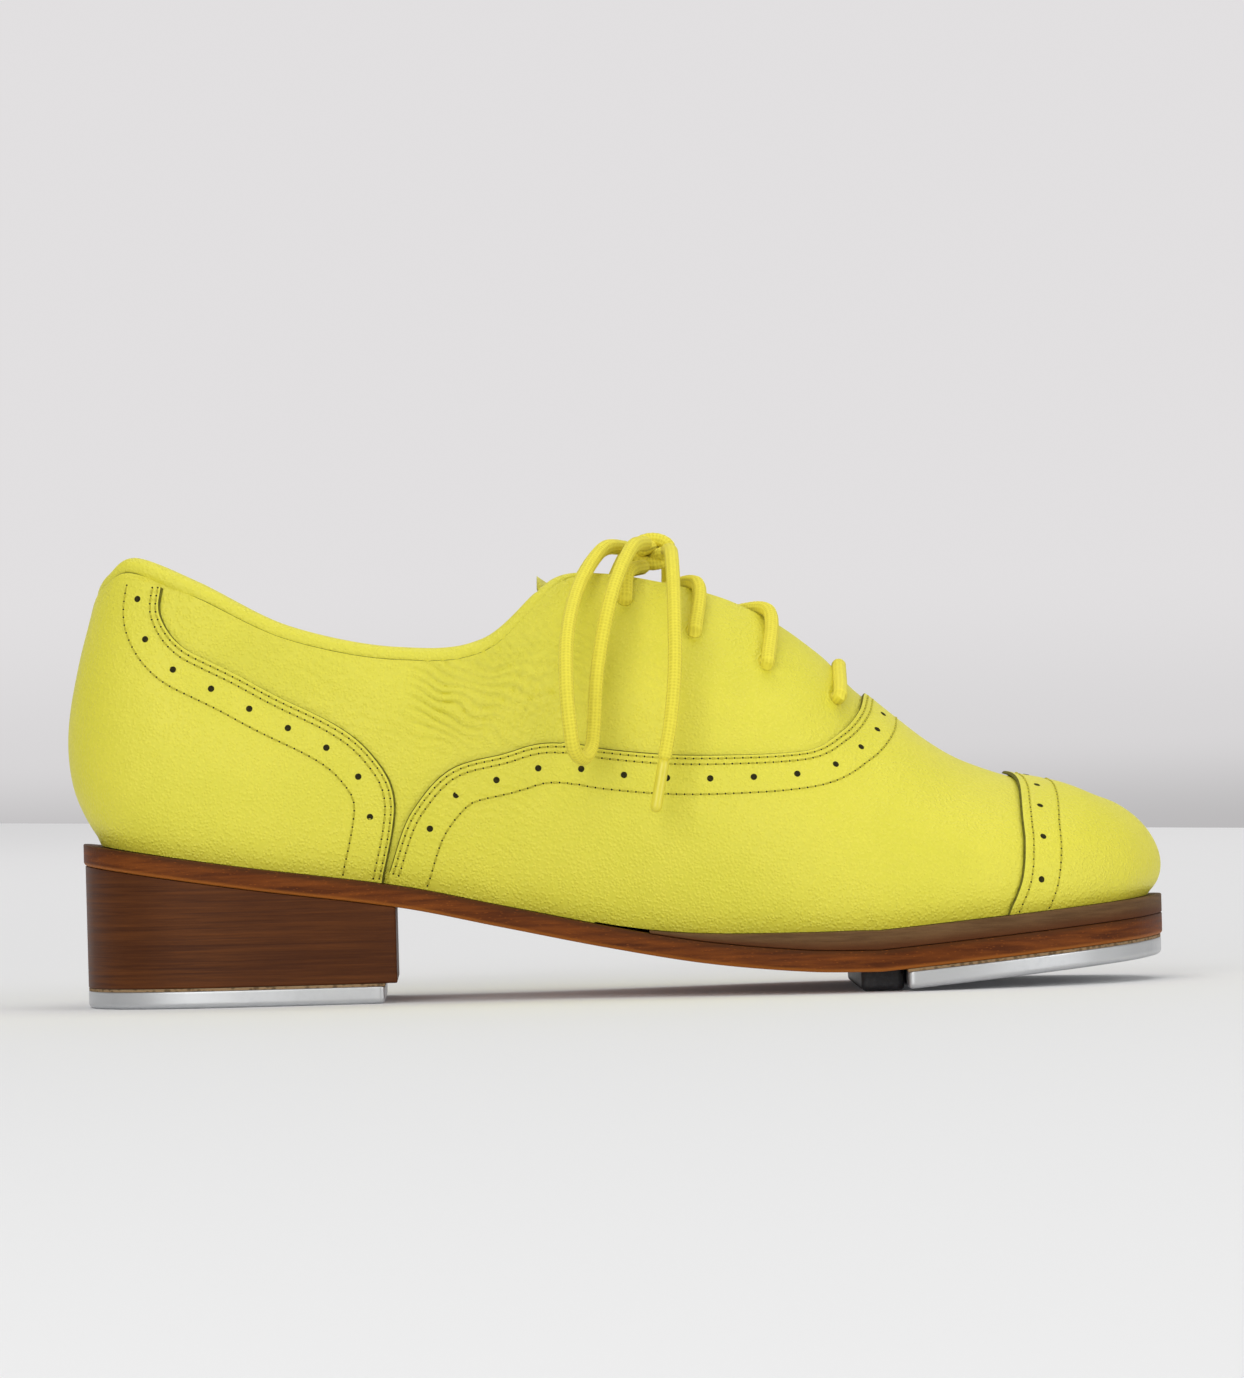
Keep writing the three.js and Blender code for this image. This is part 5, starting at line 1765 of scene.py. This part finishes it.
class TAPOXFORD_OT_vamp(bpy.types.Operator):
    """Vamp with its wings, seam rows and punched holes"""

    bl_idname = "tap_oxford.vamp"
    bl_label = "Vamp"
    bl_options = {"REGISTER", "UNDO"}

    def execute(self, context):
        back, throat = foot_at(VAMP_EDGE[0][0]), foot_at(THROAT_FOOT)
        lines = [line for _, side in SIDES for line in seam_lines(vamp_edge, side, SEAM_ROWS, 1)]
        relief = together(grooves(lines), SOFTNESS,
                          folds(0.36, (112, 48), (22, 10), 0.5, 2.6, 41))
        nose = {"edge": straight((throat, 0), (THROAT, 1)), "far": shifted(cap_edge, UNDERLAP), "steps": 90,
                "rows": 60, "cut": False}
        hem = straight((back, 0), (throat, 0))
        wing = {"edge": vamp_edge, "far": hem, "steps": 330, "rows": 83, "cut": True}
        piece = leather_panel("vamp_leather", [*both(**wing), *both(**nose)], 1, relief,
                              [finish("leather"), finish("edge")])
        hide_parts("vamp")
        flexes(piece)
        sew("vamp_stitches", lines, piece)
        holes = [line for _, side in SIDES for line in seam_lines(vamp_edge, side, (HOLE_ROW,), 1)]
        punch_marks("vamp_holes", holes, piece, sizes().hole_pitch / MM, sizes().hole / MM / 2, skip=1.3)
        return {"FINISHED"}


class TAPOXFORD_OT_toe_cap(bpy.types.Operator):
    """Toe cap with its seam rows and punched holes"""

    bl_idname = "tap_oxford.toe_cap"
    bl_label = "Toe cap"
    bl_options = {"REGISTER", "UNDO"}

    def execute(self, context):
        lines = [line for _, side in SIDES for line in seam_lines(cap_edge, side, SEAM_ROWS[1:], 0)]
        relief = together(grooves(lines, 0.16), SOFTNESS, lambda p, s: np.full(len(p), 0.2))
        piece = leather_panel(
            "toe_cap_leather",
            both(edge=cap_edge, far=lambda t: np.stack([np.ones_like(t), t], -1), steps=150, rows=110, cut=True),
            0, relief, [finish("leather"), finish("edge")],
        )
        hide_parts("toe_cap")
        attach(piece, "forefoot")
        sew("toe_cap_stitches", lines, piece, "forefoot")
        holes = [line for _, side in SIDES for line in seam_lines(cap_edge, side, (CAP_HOLE_ROW,), 0)]
        radius = sizes().hole / MM / 2
        punch_marks("toe_cap_holes", holes, piece, CAP_HOLE_PITCH, radius, "forefoot", skip=0.68)
        return {"FINISHED"}


class TAPOXFORD_OT_collar(bpy.types.Operator):
    """Rolled collar round the opening"""

    bl_idname = "tap_oxford.collar"
    bl_label = "Collar"
    bl_options = {"REGISTER", "UNDO"}

    def execute(self, context):
        along_top = np.linspace(-1, 1, 321)
        u = np.abs(along_top) * (FACING + COLLAR_RUN)
        side = np.where(along_top < 0, -1.0, 1.0)
        end = smoothstep(u, FACING - 0.02, FACING + COLLAR_RUN)
        depth = COLLAR_DEPTH + COLLAR_SINK - 0.9 * end
        points = evenly(beneath(side, u, np.ones_like(u), depth), 0.7)
        share = np.abs(np.linspace(-1, 1, len(points)))
        size = 1 - 0.72 * smoothstep(share, 0.86, 1.0)
        v, f, _, _ = tube(points, COLLAR_RADIUS * size, sides=40)
        piece = new_piece("collar_roll_leather", v, f, [finish("leather"), finish("edge")])
        set_attribute(piece, "crease", np.zeros(len(v)))
        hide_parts("collar_roll")
        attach(piece, "rearfoot")
        return {"FINISHED"}


class TAPOXFORD_OT_tongue(bpy.types.Operator):
    """Padded tongue under the facings"""

    bl_idname = "tap_oxford.tongue"
    bl_label = "Tongue"
    bl_options = {"REGISTER", "UNDO"}

    def execute(self, context):
        stations, across = 90, 36
        t = np.linspace(0, len(TONGUE) - 1, stations + 1)
        x, z, half, droop = (along([row[k] for row in TONGUE], t) for k in range(4))
        x = np.clip(x, TONGUE[0][0], TONGUE[-1][0])
        s = np.linspace(-1, 1, across + 1)
        rows = []
        for lift in (0.0, -TONGUE_THICK):
            shrink = 1 - 0.45 * (np.abs(s) ** 8)
            h = z[:, None] - droop[:, None] * s**2 + (lift if lift else 0) * shrink - (0 if lift else 0.5) * s**8
            y = bend(x)[:, None] + half[:, None] * s
            rows.append(np.stack([np.broadcast_to(x[:, None], h.shape), y, h], -1).reshape(-1, 3))
        count = (stations + 1) * (across + 1)
        faces = [tuple(f) for f in grid_faces(stations + 1, across + 1)]
        faces += [tuple(f + count) for f in grid_faces(stations + 1, across + 1)]
        ring = [j for j in range(across + 1)]
        ring += [i * (across + 1) + across for i in range(1, stations + 1)]
        ring += [stations * (across + 1) + j for j in range(across - 1, -1, -1)]
        ring += [i * (across + 1) for i in range(stations - 1, 0, -1)]
        faces += [(a, b, b + count, a + count) for a, b in zip(ring, ring[1:] + ring[:1])]
        piece = new_piece("tongue_leather", np.concatenate(rows), faces, [finish("leather")])
        set_attribute(piece, "crease", np.zeros(2 * count))
        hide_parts("tongue")
        flexes(piece)
        return {"FINISHED"}


OPERATORS = (
    TAPOXFORD_OT_stage, TAPOXFORD_OT_laces, TAPOXFORD_OT_sole, TAPOXFORD_OT_heel, TAPOXFORD_OT_taps,
    TAPOXFORD_OT_inside, TAPOXFORD_OT_quarters, TAPOXFORD_OT_foxing, TAPOXFORD_OT_vamp, TAPOXFORD_OT_toe_cap,
    TAPOXFORD_OT_collar, TAPOXFORD_OT_tongue,
)


class TAPOXFORD_PT_panel(bpy.types.Panel):
    """Sizes, colours and pieces of the shoe"""

    bl_idname = "TAPOXFORD_PT_panel"
    bl_label = "Tap Oxford"
    bl_space_type = "VIEW_3D"
    bl_region_type = "UI"
    bl_category = "Tap Oxford"

    def draw(self, context):
        for group in (context.scene.tap_oxford_sizes, context.scene.tap_oxford_colours):
            box = self.layout.box()
            for name in group.__annotations__:
                box.prop(group, name)
        for operator in OPERATORS:
            self.layout.operator(operator.bl_idname)


CLASSES = (TapOxfordSizes, TapOxfordColours, *OPERATORS, TAPOXFORD_PT_panel)


def register():
    for cls in CLASSES:
        bpy.utils.register_class(cls)
    bpy.types.Scene.tap_oxford_sizes = PointerProperty(type=TapOxfordSizes)
    bpy.types.Scene.tap_oxford_colours = PointerProperty(type=TapOxfordColours)


def unregister():
    del bpy.types.Scene.tap_oxford_colours
    del bpy.types.Scene.tap_oxford_sizes
    for cls in reversed(CLASSES):
        bpy.utils.unregister_class(cls)


def main():
    register()
    for operator in OPERATORS:
        group, name = operator.bl_idname.split(".")
        getattr(getattr(bpy.ops, group), name)()


if __name__ == "__main__":
    main()
